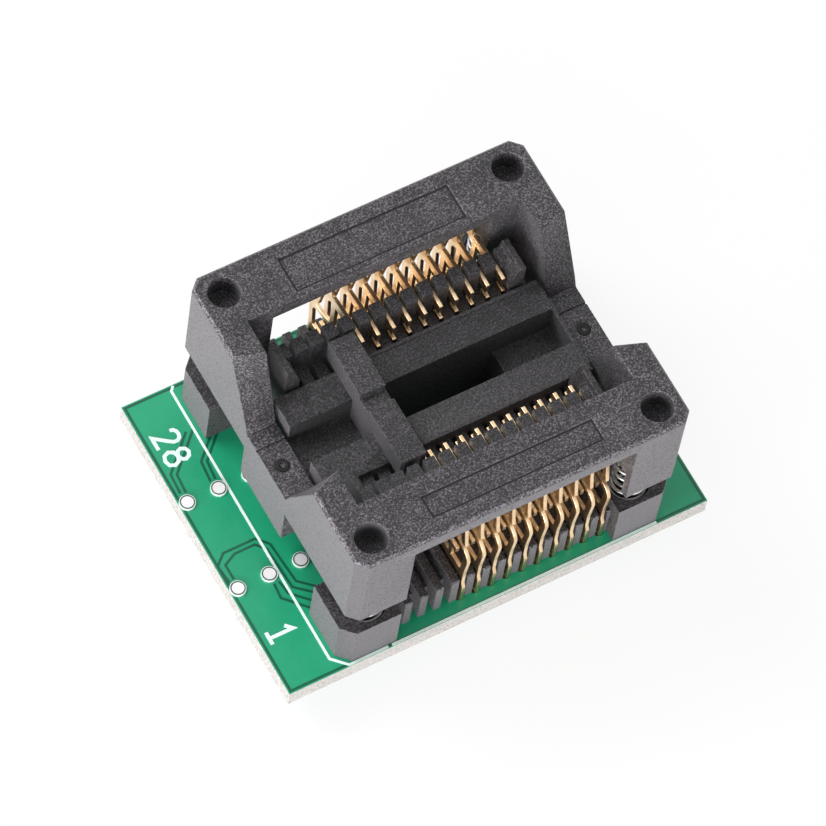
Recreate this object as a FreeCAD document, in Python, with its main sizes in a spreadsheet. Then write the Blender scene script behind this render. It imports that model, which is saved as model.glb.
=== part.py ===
import FreeCAD, Part
import math
import os
import re
import Sketcher

# An open-top test socket for a small-outline chip, on a board with two rows of plug pins.
# Every piece is drawn with its zero on the board's top face, at the middle of the socket
# or of the board, and is then lifted to stand on the tips of the plug pins.
# Along X run the rows, Y is away from the viewer, Z is up. All sizes are in millimetres.

# A text in place of a number is worked out from other sizes of the list.
SIZES = [
    ("board_width", 25.4, "board across the pin rows"),
    ("board_thickness", 1.6, "laminate with its copper"),
    ("pin_pitch", 2.54, "step between plug pins"),
    ("pins_per_row", 14, "plug pins in one row"),
    ("board_end_margin", 0.64, "board past the last pins"),
    ("board_length", "pin_pitch * (pins_per_row - 1) + 2 * board_end_margin", "board along the pin rows"),
    ("pin_row_spacing", 7.62, "distance between the two rows of plug pins"),
    ("pin_reach", 3.2, "plug pin below the board's underside"),
    ("pin_head_diameter", 1.22, "flat head on the board's top face"),
    ("pin_head_thickness", 0.18, "how far the head stands up"),
    ("pin_barrel_diameter", 0.76, "part of the pin inside the board"),
    ("pin_collar_diameter", 1.1, "shoulder under the board"),
    ("pin_collar_thickness", 0.35, "height of the shoulder"),
    ("pin_diameter", 0.5, "working end of the pin"),
    ("pin_tip_taper", 0.4, "height of the tapered tip"),
    ("pin_tip_diameter", 0.26, "flat end of the tip"),
    ("hole_clearance", 0.05, "radial gap round what passes through the board"),
    ("socket_shift", 0.508, "socket centre from the board centre, along X"),
    ("contact_pitch", 1.27, "step between contact slots"),
    ("slots_per_row", 14, "contact slots in one row"),
    ("contacts_per_row", 10, "slots that hold a contact, counted from the right"),
    ("contact_thickness", 0.3, "sheet that the contacts are blanked from"),
    ("slot_clearance", 0.035, "gap on each side of a contact in its narrow slot"),
    ("slot_width", "contact_thickness + 2 * slot_clearance", "narrow slot that holds a contact upright"),
    ("comb_slot_width", 0.64, "wide slot between the teeth of the outer comb"),
    ("comb_end", 0.945, "comb past the middle of its last slot"),
    ("comb_half_length", "contact_pitch * (slots_per_row - 1) / 2 + comb_end",
     "outer comb, half of its length without the posts"),
    ("tower_end", 1.55, "central tower past the comb"),
    ("tower_half_length", "comb_half_length + tower_end", "central tower, half of its length"),
    ("comb_margin", 1.2, "board edge past the comb"),
    ("comb_reach", "board_width / 2 - comb_margin", "outer faces of the comb from the middle"),
    ("comb_slot_depth", 1.1, "how far the through slots run inward"),
    ("deck_height", 3.1, "top of the outer comb"),
    ("deck_nose", 0.1, "bevel on the outer ends of the comb teeth"),
    ("comb_tooth", 1.2, "height of the teeth above the floor"),
    ("floor_height", "deck_height - comb_tooth", "floor of the moulded base and of the wide slots"),
    ("slot_sink", 0.1, "narrow slots run below the deck"),
    ("slot_floor", "deck_height - slot_sink", "floor of the narrow slots"),
    ("deck_depth", 4.7, "deck from the comb's face to the upper rib"),
    ("rib_outer", "comb_reach - deck_depth", "outer face of the upper ribs"),
    ("rib_thickness", 1.15, "upper rib"),
    ("rib_inner", "rib_outer - rib_thickness", "inner face of the upper ribs"),
    ("lead_bay", 1.65, "room for the chip's leads between stage and rib"),
    ("stage_half_width", "rib_inner - lead_bay", "chip stage, half of its width"),
    ("stage_rise", 7.5, "chip stage above the deck"),
    ("stage_top", "deck_height + stage_rise", "stage bars under the chip"),
    ("stage_step", 0.2, "drop of the stage at the blank end"),
    ("stage_low", "stage_top - stage_step", "stage at the blank end"),
    ("stage_lip", 0.15, "raised edge of the stage bars"),
    ("stage_lip_width", 0.28, "width of the raised edge"),
    ("stage_inset", 0.25, "stage bars end this far inside the tower"),
    ("stage_right", "tower_half_length - stage_inset", "right end of the stage bars"),
    ("rib_rise", 1.7, "upper ribs above the stage"),
    ("rib_top", "stage_top + rib_rise", "top of the upper ribs"),
    ("shelf_drop", 0.8, "lower ribs below the stage"),
    ("shelf_top", "stage_top - shelf_drop", "top of the lower ribs beside the stage"),
    ("well_share", 0.375, "part of the stage's width that the well takes"),
    ("well_half_width", "stage_half_width * well_share", "half width of the well between the stage bars"),
    ("right_pocket_length", 4.6, "pocket right of the well"),
    ("well_right", "stage_right - right_pocket_length", "right end of the open well, from the middle"),
    ("right_pocket_depth", 2.9, "that pocket below the stage"),
    ("left_pocket_depth", 2.6, "pocket left of the well below the stage"),
    ("left_pocket_floor", "stage_top - left_pocket_depth", "floor of the pocket under the locator"),
    ("guide_outer", "comb_half_length + 0.45", "outer face of the end guides"),
    ("guide_lead_run", 0.7, "run of the slanted lead-in"),
    ("guide_lead_in", 1.8, "height of the slanted lead-in"),
    ("guide_rise", 2.2, "end guides above the stage"),
    ("guide_top", "stage_top + guide_rise", "top of the end guides"),
    ("guide_near", "stage_half_width + 0.24", "guides start this far from the middle line"),
    ("guide_far", "rib_outer + 0.15", "guides end this far from the middle line"),
    ("post_overlap", 0.35, "corner posts reach this far over the comb's end"),
    ("post_inner_x", "comb_half_length - post_overlap", "corner posts start this far along X"),
    ("post_length", 4.55, "corner post along X"),
    ("post_outer_x", "post_inner_x + post_length", "corner posts end this far along X"),
    ("post_margin", 0.28, "board edge past the corner posts"),
    ("post_outer_y", "board_width / 2 - post_margin", "corner posts end this far along Y"),
    ("post_depth", 4.66, "corner post along Y"),
    ("post_inner_y", "post_outer_y - post_depth", "corner posts start this far along Y"),
    ("post_chamfer", 0.95, "bevelled corner of a post"),
    ("post_rise", 1.35, "corner posts above the deck"),
    ("post_height", "deck_height + post_rise", "top of the corner posts"),
    ("relief_width", 2.0, "channel under the base over a row of pin heads"),
    ("relief_depth", 0.45, "depth of that channel"),
    ("spring_inset_x", 1.9, "spring axis from the post's inner face"),
    ("spring_inset_y", 2.02, "spring axis from the post's outer face"),
    ("spring_x", "post_inner_x + spring_inset_x", "spring axis from the middle, along X"),
    ("spring_y", "post_outer_y - spring_inset_y", "spring axis from the middle, along Y"),
    ("spring_outer_diameter", 2.95, "outer diameter of a spring"),
    ("spring_wire", 0.28, "wire of a spring"),
    ("spring_turns", 7, "open turns of a spring"),
    ("closed_pitch", 0.29, "step of the closed turn at each end"),
    ("spring_clearance", 0.12, "radial gap round a spring"),
    ("seat_gap", 0.02, "air between a spring end and its seat"),
    ("seat_rise", 2.75, "spring seat above the leg's lower edge"),
    ("cover_travel", 2.5, "how far the cover is pressed"),
    ("leg_clearance", 0.2, "air between leg and post with the cover down"),
    ("leg_bottom", "post_height + cover_travel + leg_clearance", "lower edge of the legs and side walls"),
    ("spring_length", "leg_bottom + seat_rise - floor_height", "spring from seat to seat with the cover up"),
    ("cover_half_length", "post_outer_x", "cover, half of its length"),
    ("cover_margin", 0.05, "board edge past the cover"),
    ("cover_half_width", "board_width / 2 - cover_margin", "cover, half of its width"),
    ("cover_corner", 0.8, "bevelled corner of the cover"),
    ("cover_rise", 5.06, "cover's top above the stage"),
    ("cover_top", "stage_top + cover_rise", "top face of the cover"),
    ("cover_plate", 1.46, "thickness of the long bars"),
    ("cover_edge", 0.22, "bevel round the top face"),
    ("cover_gap", 0.3, "running gap between cover and tower"),
    ("window_gap", 1.2, "window edge past the upper ribs"),
    ("window_half_width", "rib_outer + window_gap", "window, half of its width"),
    ("saddle_ridge_outer", "window_half_width - 1.8", "ridge of the slope at the outer face"),
    ("saddle_ridge_inner", "saddle_ridge_outer - 1.3", "ridge of the slope at the inner face"),
    ("saddle_half_width", "saddle_ridge_inner - 2.05", "low part, half of its width"),
    ("sill_height", 2.05, "low part of the short sides above their lower edge"),
    ("saddle_floor", "leg_bottom + sill_height", "low part of the short sides"),
    ("saddle_knee_rise", 0.9, "height of the knee at the foot of the slope"),
    ("saddle_knee_run", 0.32, "run of the knee at the foot of the slope"),
    ("groove_depth", 0.5, "latch groove in the tower's end"),
    ("groove_bottom", 0.5, "lower end of the latch groove"),
    ("tab_half_width", "saddle_half_width + 0.15", "latch tab, half of its width"),
    ("tab_bottom", "groove_bottom + cover_travel + 0.4", "lower edge of the latch tab"),
    ("hook_height", 0.8, "height of the latch hook"),
    ("hook_reach", 0.55, "how far the hook stands inward"),
    ("hook_lead", 0.35, "bevel on the hook's lower edge"),
    ("hook_gap", 0.05, "air above the hook with the cover up"),
    ("hook_side_gap", 0.4, "air beside the hook in its groove"),
    ("dimple_inset", 1.96, "blind hole from the cover's outer faces"),
    ("dimple_x", "cover_half_length - dimple_inset", "blind hole from the middle, along X"),
    ("dimple_y", "cover_half_width - dimple_inset", "blind hole from the middle, along Y"),
    ("dimple_diameter", 2.4, "blind hole in the cover's top"),
    ("dimple_depth", 2.0, "depth of the blind hole"),
    ("panel_half_length", "comb_half_length - 2.35", "sunk bare panel on a long bar, half of its length"),
    ("panel_depth", 0.15, "depth of the sunk panel"),
    ("rear_panel_near", "window_half_width + 0.5", "rear panel, inner edge"),
    ("rear_panel_far", "cover_half_width - 1.25", "rear panel, outer edge"),
    ("front_panel_near", "window_half_width + 1.4", "front panel, inner edge"),
    ("front_panel_far", "cover_half_width - 1.38", "front panel, outer edge"),
    ("cam_near", "window_half_width + 1.4", "cam rib under a long bar, inner face"),
    ("cam_width", 1.5, "cam rib"),
    ("cam_far", "cam_near + cam_width", "cam rib under a long bar, outer face"),
    ("cam_drop", 0.8, "how far the cam rib hangs down"),
    ("seam_y", "saddle_half_width / 2", "fine groove across the low part of a short side"),
    ("seam_width", 0.14, "width of the fine groove"),
    ("seam_depth", 0.18, "depth of the fine groove"),
    ("gate_diameter", 1.2, "round moulding mark on the low part"),
    ("gate_depth", 0.12, "depth of the moulding mark"),
    ("gate_y", 0.35, "moulding mark in front of the middle"),
    ("locator_right", "contact_pitch * (contacts_per_row - (slots_per_row + 1) / 2) + 0.575",
     "right face of the locator, from the middle"),
    ("locator_length", 2.05, "locator along X"),
    ("locator_left", "locator_right + locator_length", "left face of the locator, from the middle"),
    ("locator_rise", 1.94, "locator above the stage"),
    ("locator_top", "stage_top + locator_rise", "top of the locator"),
    ("locator_half_width", "rib_inner - 0.32", "locator, half of its width"),
    ("locator_notch_half", 0.6, "notch in the locator's top, half of its width"),
    ("locator_notch_depth", 0.6, "depth of that notch"),
    ("locator_fit", 0.05, "gap round the locator's stem and beside the stage bars"),
    ("tail_drop", 1.0, "contact tail below the board's underside"),
    ("tail_width", 0.4, "contact tail"),
    ("tail_outer", "comb_reach + 0.1", "outer edge of the tail"),
    ("foot_outer", "comb_reach + 0.18", "outer edge of the contact's foot"),
    ("foot_height", 2.0, "top of the foot"),
    ("foot_kink", 0.5, "height of the step above the foot"),
    ("leg_outer", "comb_reach - 0.03", "outer edge of the contact's leg above the kink"),
    ("bar_height", 0.95, "height of the retention bar"),
    ("jaw_inner", "stage_half_width + 0.1", "tip of the fixed jaw"),
    ("jaw_outer", "rib_inner - 0.25", "outer edge of the fixed jaw"),
    ("jaw_stem", 0.75, "width of the jaw's stem"),
    ("jaw_drop", 0.5, "seat of the chip's lead below the stage"),
    ("jaw_top", "stage_top - jaw_drop", "seat of the chip's lead"),
    ("jaw_tip_height", 0.7, "height of the jaw's tip"),
    ("horn_outer", "comb_reach - 1.35", "outer edge of the stop horn's head"),
    ("horn_hook", 0.5, "how far the head stands out from the stem"),
    ("horn_width", 0.4, "width of the horn's stem"),
    ("horn_rise", 2.6, "stop horn above the slot floor"),
    ("horn_top", "slot_floor + horn_rise", "top of the stop horn"),
    ("horn_head", 0.6, "height of the horn's head"),
    ("band_width", 0.55, "width of the spring band"),
    ("bow_outer", "comb_reach + 0.15", "outermost point of the spring band"),
    ("bow_radius", 1.2, "outer radius of the band's bend"),
    ("bow_centre_y", "bow_outer - bow_radius", "centre of the band's bend, from the middle"),
    ("bow_rise", 2.8, "centre of the bend above the slot floor"),
    ("bow_centre_z", "slot_floor + bow_rise", "height of the bend's centre"),
    ("band_rise", 0.35, "rise of the band on its way inward"),
    ("column_outer", "window_half_width + 0.95", "outer edge of the column under the arm"),
    ("column_bend", 0.9, "outer radius of the bend into the column"),
    ("arm_bottom", "jaw_top + 0.2", "lower edge of the arm"),
    ("arm_height", 0.8, "arm at the column"),
    ("arm_top", "arm_bottom + arm_height", "upper edge of the arm at the column"),
    ("prong_tip", "stage_half_width + 0.75", "tip of the upper prong"),
    ("prong_gap", 0.32, "gap between prong and jaw"),
    ("prong_width", 0.5, "width of the prong"),
    ("prong_shoulder", "rib_inner + 0.3", "shoulder where the prong starts to slope"),
    ("prong_crest_y", "rib_outer - 0.2", "crest of the prong, from the middle"),
    ("prong_crest_z", "arm_top + 0.95", "height of that crest"),
    ("prong_slope", 0.65, "drop from the crest to the tip"),
    ("lever_outer_low", "comb_reach - 0.45", "outer edge of the lever's free end"),
    ("lever_outer", "comb_reach - 0.8", "outer edge of the lever at the arm"),
    ("lever_width", 0.5, "width of the lever"),
    ("lever_drop", 2.8, "lever below the arm"),
    ("lever_bottom", "arm_bottom - lever_drop", "free end of the lever"),
    ("lever_bend", "arm_bottom - 0.8", "height where the lever turns upright"),
    ("cam_contact_gap", 0.08, "air between the cam rib and the lever"),
    ("lever_head_width", 0.6, "flat on top of the lever"),
    ("lever_head_bevel", 0.7, "height of the slopes beside that flat"),
]

BOARD_TOP = "pin_reach + board_thickness"
CUT_MARGIN = 0.6

doc = FreeCAD.newDocument("Adapter")
sheet = doc.addObject("Spreadsheet::Sheet", "Sizes")
for row, (alias, _, meaning) in enumerate(SIZES, 1):
    sheet.set(f"A{row}", meaning)
    sheet.setAlias(f"B{row}", alias)
for row, (_, amount, _) in enumerate(SIZES, 1):
    sheet.set(f"B{row}", "=" + amount if isinstance(amount, str) else str(amount))
doc.recompute()


def size(name):
    return float(getattr(sheet, name))


def sized(text):
    """Puts the sheet's name before each alias in an expression, and leaves function names alone."""
    return re.sub(r"\b[a-z][a-z_]*\b(?!\()", lambda word: "Sizes." + word.group(), str(text))


def new_body(label):
    body = doc.addObject("PartDesign::Body", label)
    body.Label = label
    return body


def origin_item(body, role):
    return [item for item in body.Origin.OriginFeatures if item.Role == role][0]


def place(piece, x_text, y_text="0", turned=False):
    turn = FreeCAD.Rotation(FreeCAD.Vector(0, 0, 1), 180 if turned else 0)
    piece.Placement = FreeCAD.Placement(FreeCAD.Vector(0, 0, 0), turn)
    piece.setExpression("Placement.Base.x", sized(x_text))
    piece.setExpression("Placement.Base.y", sized(y_text))
    piece.setExpression("Placement.Base.z", sized(BOARD_TOP))


def rectangle(left, right, low, high):
    return [(left, low), (right, low), (right, high), (left, high)]


def mirrored(outline, flip_h=False, flip_v=False):
    """The same outline on the other side of an axis. An arc's turn changes with each flip."""
    result = []
    for corner in outline:
        h = f"-({corner[0]})" if flip_h else corner[0]
        v = f"-({corner[1]})" if flip_v else corner[1]
        arc = corner[2:]
        if arc and flip_h != flip_v:
            arc = (arc[0], -arc[1])
        result.append((h, v, *arc))
    return result


def both_rows(outline):
    return [outline, mirrored(outline, flip_v=True)]


def both_ends(outline):
    return [outline, mirrored(outline, flip_h=True)]


def four_corners(outline):
    return [mirrored(outline, h, v) for h in (False, True) for v in (False, True)]


def arc_between(start, end, radius, turn):
    """Arc of a given radius from start to end: turn 1 is to the left, -1 to the right."""
    chord = end - start
    middle = (start + end) * 0.5
    away = math.sqrt(max(radius ** 2 - (chord.Length / 2) ** 2, 0))
    left = FreeCAD.Vector(-chord.y, chord.x, 0).normalize()
    centre = middle + left * away * turn
    first, last = (start, end) if turn > 0 else (end, start)
    begin = math.atan2(first.y - centre.y, first.x - centre.x)
    finish = math.atan2(last.y - centre.y, last.x - centre.x)
    circle = Part.Circle(centre, FreeCAD.Vector(0, 0, 1), radius)
    return Part.ArcOfCircle(circle, begin, finish)


def sketch_on(body, name, role, lift="0"):
    sketch = body.newObject("Sketcher::SketchObject", name)
    sketch.AttachmentSupport = [(origin_item(body, role), "")]
    sketch.MapMode = "FlatFace"
    sketch.setExpression("AttachmentOffset.Base.z", sized(lift))
    return sketch


def evaluated(sketch, text):
    return float(sketch.evalExpression(sized(text)))


def point_rules(geometry, point, h, v):
    """The two distances that tie one point of a sketch to its zero."""
    return [("DistanceX", (-1, 1, geometry, point), h), ("DistanceY", (-1, 1, geometry, point), v)]


def tie_to_sheet(sketch, rules):
    """Adds the rules in one step, then binds each to its expression."""
    constraints = [Sketcher.Constraint(kind, *items, evaluated(sketch, text)) for kind, items, text in rules]
    for index, (_, _, text) in zip(sketch.addConstraint(constraints), rules):
        sketch.setExpression(f"Constraints[{index}]", sized(text))


def draw_outline(sketch, outline):
    """Closed outline. A corner that carries a radius and a turn starts an arc."""
    points = [FreeCAD.Vector(evaluated(sketch, corner[0]), evaluated(sketch, corner[1]), 0)
              for corner in outline]
    first = sketch.GeometryCount
    lines = []
    ends = []
    rules = []
    for index, corner in enumerate(outline):
        start = points[index]
        end = points[(index + 1) % len(points)]
        if len(corner) > 2:
            lines.append(arc_between(start, end, evaluated(sketch, corner[2]), corner[3]))
            ends.append((1, 2) if corner[3] > 0 else (2, 1))
            rules.append(("Radius", (first + index,), corner[2]))
        else:
            lines.append(Part.LineSegment(start, end))
            ends.append((1, 2))
    sketch.addGeometry(lines, False)
    joins = []
    for index, corner in enumerate(outline):
        after = (index + 1) % len(outline)
        joins.append(Sketcher.Constraint(
            "Coincident", first + index, ends[index][1], first + after, ends[after][0]))
        rules += point_rules(first + index, ends[index][0], corner[0], corner[1])
    sketch.addConstraint(joins)
    tie_to_sheet(sketch, rules)


def outline_sketch(body, name, role, outlines, lift="0"):
    sketch = sketch_on(body, name, role, lift)
    for outline in outlines:
        draw_outline(sketch, outline)
    return sketch


def circle_sketch(body, name, centres, diameter, lift="0"):
    sketch = sketch_on(body, name, "XY_Plane", lift)
    radius = evaluated(sketch, diameter) / 2
    rules = []
    for number, (h, v) in enumerate(centres):
        middle = FreeCAD.Vector(evaluated(sketch, h), evaluated(sketch, v), 0)
        sketch.addGeometry(Part.Circle(middle, FreeCAD.Vector(0, 0, 1), radius), False)
        rules += point_rules(number, 3, h, v)
        rules.append(("Diameter", (number,), diameter))
    tie_to_sheet(sketch, rules)
    return sketch


def pad(body, sketch, length, symmetric=False):
    feature = body.newObject("PartDesign::Pad", sketch.Name + "_pad")
    feature.Profile = sketch
    feature.setExpression("Length", sized(length))
    if symmetric:
        feature.SideType = "Symmetric"
    sketch.Visibility = False
    return feature


def pocket(body, sketch, length=None):
    """Cut against the sketch's normal by a length, or right through both ways."""
    feature = body.newObject("PartDesign::Pocket", sketch.Name + "_cut")
    feature.Profile = sketch
    if length is None:
        feature.Type = "ThroughAll"
        feature.SideType = "Symmetric"
    else:
        feature.setExpression("Length", sized(length))
    sketch.Visibility = False
    return feature


def repeat_along_x(body, feature, step, count):
    pattern = body.newObject("PartDesign::LinearPattern", feature.Name + "_row")
    pattern.Originals = [feature]
    pattern.Direction = (origin_item(body, "X_Axis"), [""])
    pattern.setExpression("Length", sized(f"{step} * ({count} - 1)"))
    pattern.setExpression("Occurrences", sized(count))
    body.Tip = pattern
    return pattern


def mirror_feature(body, feature, role):
    mirror = body.newObject("PartDesign::Mirrored", feature.Name + "_twin")
    mirror.Originals = [feature]
    mirror.MirrorPlane = (origin_item(body, role), [""])
    body.Tip = mirror
    return mirror


FIRST_PIN_X = "-pin_pitch * (pins_per_row - 1) / 2"
FIRST_SLOT_X = "-contact_pitch * (slots_per_row - 1) / 2"
FIRST_CONTACT_X = f"{FIRST_SLOT_X} + contact_pitch * (slots_per_row - contacts_per_row)"


def make_board():
    board = new_body("pcb")
    outline = rectangle("-board_length / 2", "board_length / 2", "-board_width / 2", "board_width / 2")
    pad(board, outline_sketch(board, "board_outline", "XY_Plane", [outline], "-board_thickness"),
        "board_thickness")
    pin_holes = circle_sketch(
        board, "pin_holes",
        [(FIRST_PIN_X, "-pin_row_spacing / 2"), (FIRST_PIN_X, "pin_row_spacing / 2")],
        "pin_barrel_diameter + 2 * hole_clearance")
    repeat_along_x(board, pocket(board, pin_holes), "pin_pitch", "pins_per_row")
    tail_middle = "tail_outer - tail_width / 2"
    first_tail = f"{FIRST_CONTACT_X} + socket_shift"
    tail_holes = circle_sketch(
        board, "tail_holes",
        [(first_tail, f"-({tail_middle})"), (first_tail, tail_middle)],
        "sqrt(tail_width ^ 2 + contact_thickness ^ 2) + 2 * hole_clearance")
    repeat_along_x(board, pocket(board, tail_holes), "contact_pitch", "contacts_per_row")
    place(board, "0")
    return board


def make_pin(label, x_text, y_text):
    """Turned plug pin: flat head, barrel in the board, shoulder, working end and tip."""
    pin = new_body(label)
    under = "-board_thickness"
    shoulder = f"{under} - pin_collar_thickness"
    tip = f"{under} - pin_reach"
    profile = [
        ("0", "pin_head_thickness"),
        ("0", tip),
        ("pin_tip_diameter / 2", tip),
        ("pin_diameter / 2", f"{tip} + pin_tip_taper"),
        ("pin_diameter / 2", shoulder),
        ("pin_collar_diameter / 2", shoulder),
        ("pin_collar_diameter / 2", under),
        ("pin_barrel_diameter / 2", under),
        ("pin_barrel_diameter / 2", "0"),
        ("pin_head_diameter / 2", "0"),
        ("pin_head_diameter / 2", "pin_head_thickness"),
    ]
    sketch = outline_sketch(pin, label + "_profile", "XZ_Plane", [profile])
    turned = pin.newObject("PartDesign::Revolution", label + "_turned")
    turned.Profile = sketch
    turned.ReferenceAxis = (sketch, ["V_Axis"])
    turned.Angle = 360
    place(pin, x_text, y_text)
    return pin


def make_base():
    """Moulded base: floor, corner posts, outer comb, ribs, stage, end guides and latch grooves."""
    base = new_body("socket_base")
    floor = rectangle("-tower_half_length", "tower_half_length", "-comb_reach + deck_nose",
                      "comb_reach - deck_nose")
    pad(base, outline_sketch(base, "floor", "XY_Plane", [floor]), "floor_height")

    post = [
        ("post_inner_x", "post_inner_y"),
        ("post_outer_x", "post_inner_y"),
        ("post_outer_x", "post_outer_y - post_chamfer"),
        ("post_outer_x - post_chamfer", "post_outer_y"),
        ("post_inner_x", "post_outer_y"),
    ]
    pad(base, outline_sketch(base, "posts", "XY_Plane", four_corners(post)), "post_height")

    half_section = [
        ("stage_half_width - well_half_width", "0"),
        ("comb_reach", "0"),
        ("comb_reach", "deck_height - deck_nose"),
        ("comb_reach - deck_nose", "deck_height"),
        ("rib_outer", "deck_height"),
        ("rib_outer", "rib_top"),
        ("rib_inner", "rib_top"),
        ("rib_inner", "shelf_top"),
        ("stage_half_width - well_half_width", "shelf_top"),
    ]
    pad(base, outline_sketch(base, "comb_section", "YZ_Plane", both_ends(half_section)),
        "2 * comb_half_length", symmetric=True)

    guide_foot = "comb_half_length - guide_lead_run"
    guide = [
        (guide_foot, "shelf_top"),
        (guide_foot, "guide_top - guide_lead_in"),
        ("comb_half_length", "guide_top"),
        ("guide_outer", "guide_top"),
        ("guide_outer", "0"),
        (guide_foot, "0"),
    ]
    guides = pad(base, outline_sketch(base, "guides", "XZ_Plane", both_ends(guide), "guide_near"),
                 "guide_far - guide_near")
    mirror_feature(base, guides, "XZ_Plane")

    stage = rectangle("-tower_half_length", "tower_half_length", "-stage_half_width", "stage_half_width")
    pad(base, outline_sketch(base, "stage_block", "XY_Plane", [stage]), "stage_low")
    bars_left = "-locator_right + locator_fit"
    bars = rectangle(bars_left, "stage_right", "-stage_half_width", "stage_half_width")
    pad(base, outline_sketch(base, "stage_bars", "XY_Plane", [bars], "stage_low"),
        "stage_step")
    lip = rectangle(bars_left, "stage_right", "stage_half_width - stage_lip_width", "stage_half_width")
    pad(base, outline_sketch(base, "stage_lips", "XY_Plane", both_rows(lip), "stage_top"), "stage_lip")

    well = rectangle("-locator_right", "well_right", "-well_half_width", "well_half_width")
    pocket(base, outline_sketch(base, "well", "XY_Plane", [well]))
    right_pocket = rectangle("well_right", "stage_right", "-well_half_width", "well_half_width")
    pocket(base, outline_sketch(base, "right_pocket", "XY_Plane", [right_pocket], "stage_top"),
           "right_pocket_depth")
    left_pocket = rectangle(f"-tower_half_length - {CUT_MARGIN}", "-locator_right", "-well_half_width",
                            "well_half_width")
    pocket(base, outline_sketch(base, "left_pocket", "XY_Plane", [left_pocket], "stage_top"),
           "left_pocket_depth")

    narrow = rectangle(f"{FIRST_SLOT_X} - slot_width / 2", f"{FIRST_SLOT_X} + slot_width / 2",
                       "stage_half_width", "comb_reach - comb_slot_depth / 2")
    narrow_slots = pocket(
        base, outline_sketch(base, "narrow_slots", "XY_Plane", both_rows(narrow), "rib_top"),
        "rib_top - slot_floor")
    repeat_along_x(base, narrow_slots, "contact_pitch", "slots_per_row")
    slot_sides = (f"{FIRST_SLOT_X} - comb_slot_width / 2", f"{FIRST_SLOT_X} + comb_slot_width / 2")
    wide = rectangle(*slot_sides, "guide_far", f"comb_reach + {CUT_MARGIN}")
    wide_slots = pocket(base, outline_sketch(base, "wide_slots", "XY_Plane", both_rows(wide), "deck_height"),
                        "deck_height - floor_height")
    repeat_along_x(base, wide_slots, "contact_pitch", "slots_per_row")
    tail_slot = rectangle(*slot_sides, "comb_reach - comb_slot_depth", f"comb_reach + {CUT_MARGIN}")
    tail_slots = pocket(base, outline_sketch(base, "tail_slots", "XY_Plane", both_rows(tail_slot)))
    repeat_along_x(base, tail_slots, "contact_pitch", "slots_per_row")

    channel = rectangle(f"-tower_half_length - {CUT_MARGIN}", f"tower_half_length + {CUT_MARGIN}",
                        "(pin_row_spacing - relief_width) / 2", "(pin_row_spacing + relief_width) / 2")
    pocket(base, outline_sketch(base, "channels", "XY_Plane", both_rows(channel), "relief_depth"),
           "relief_depth")

    spring_axes = [(f"{x}spring_x", f"{y}spring_y") for x in ("-", "") for y in ("-", "")]
    pocket(base, circle_sketch(base, "spring_pockets", spring_axes,
                               "spring_outer_diameter + 2 * spring_clearance", "post_height"),
           "post_height - floor_height")

    groove_top = "tab_bottom + hook_height + hook_gap"
    groove = rectangle("tower_half_length - groove_depth", f"tower_half_length + {CUT_MARGIN}",
                       "-tab_half_width - hook_side_gap", "tab_half_width + hook_side_gap")
    pocket(base, outline_sketch(base, "latch_grooves", "XY_Plane", both_ends(groove), groove_top),
           f"{groove_top} - groove_bottom")
    place(base, "socket_shift")
    return base


def make_locator():
    """Block that closes off the blank end: its stem drops into the well, its wings lie on the low stage."""
    locator = new_body("chip_locator")
    stem = "well_half_width - locator_fit"
    half = [
        (stem, "left_pocket_floor"),
        (stem, "stage_low"),
        ("locator_half_width", "stage_low"),
        ("locator_half_width", "locator_top"),
        ("locator_notch_half", "locator_top"),
        ("locator_notch_half", "locator_top - locator_notch_depth"),
    ]
    outline = half + list(reversed(mirrored(half, flip_h=True)))
    sketch = outline_sketch(locator, "locator_section", "YZ_Plane", [outline], "-locator_left")
    pad(locator, sketch, "locator_left - locator_right")
    place(locator, "socket_shift")
    return locator


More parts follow.
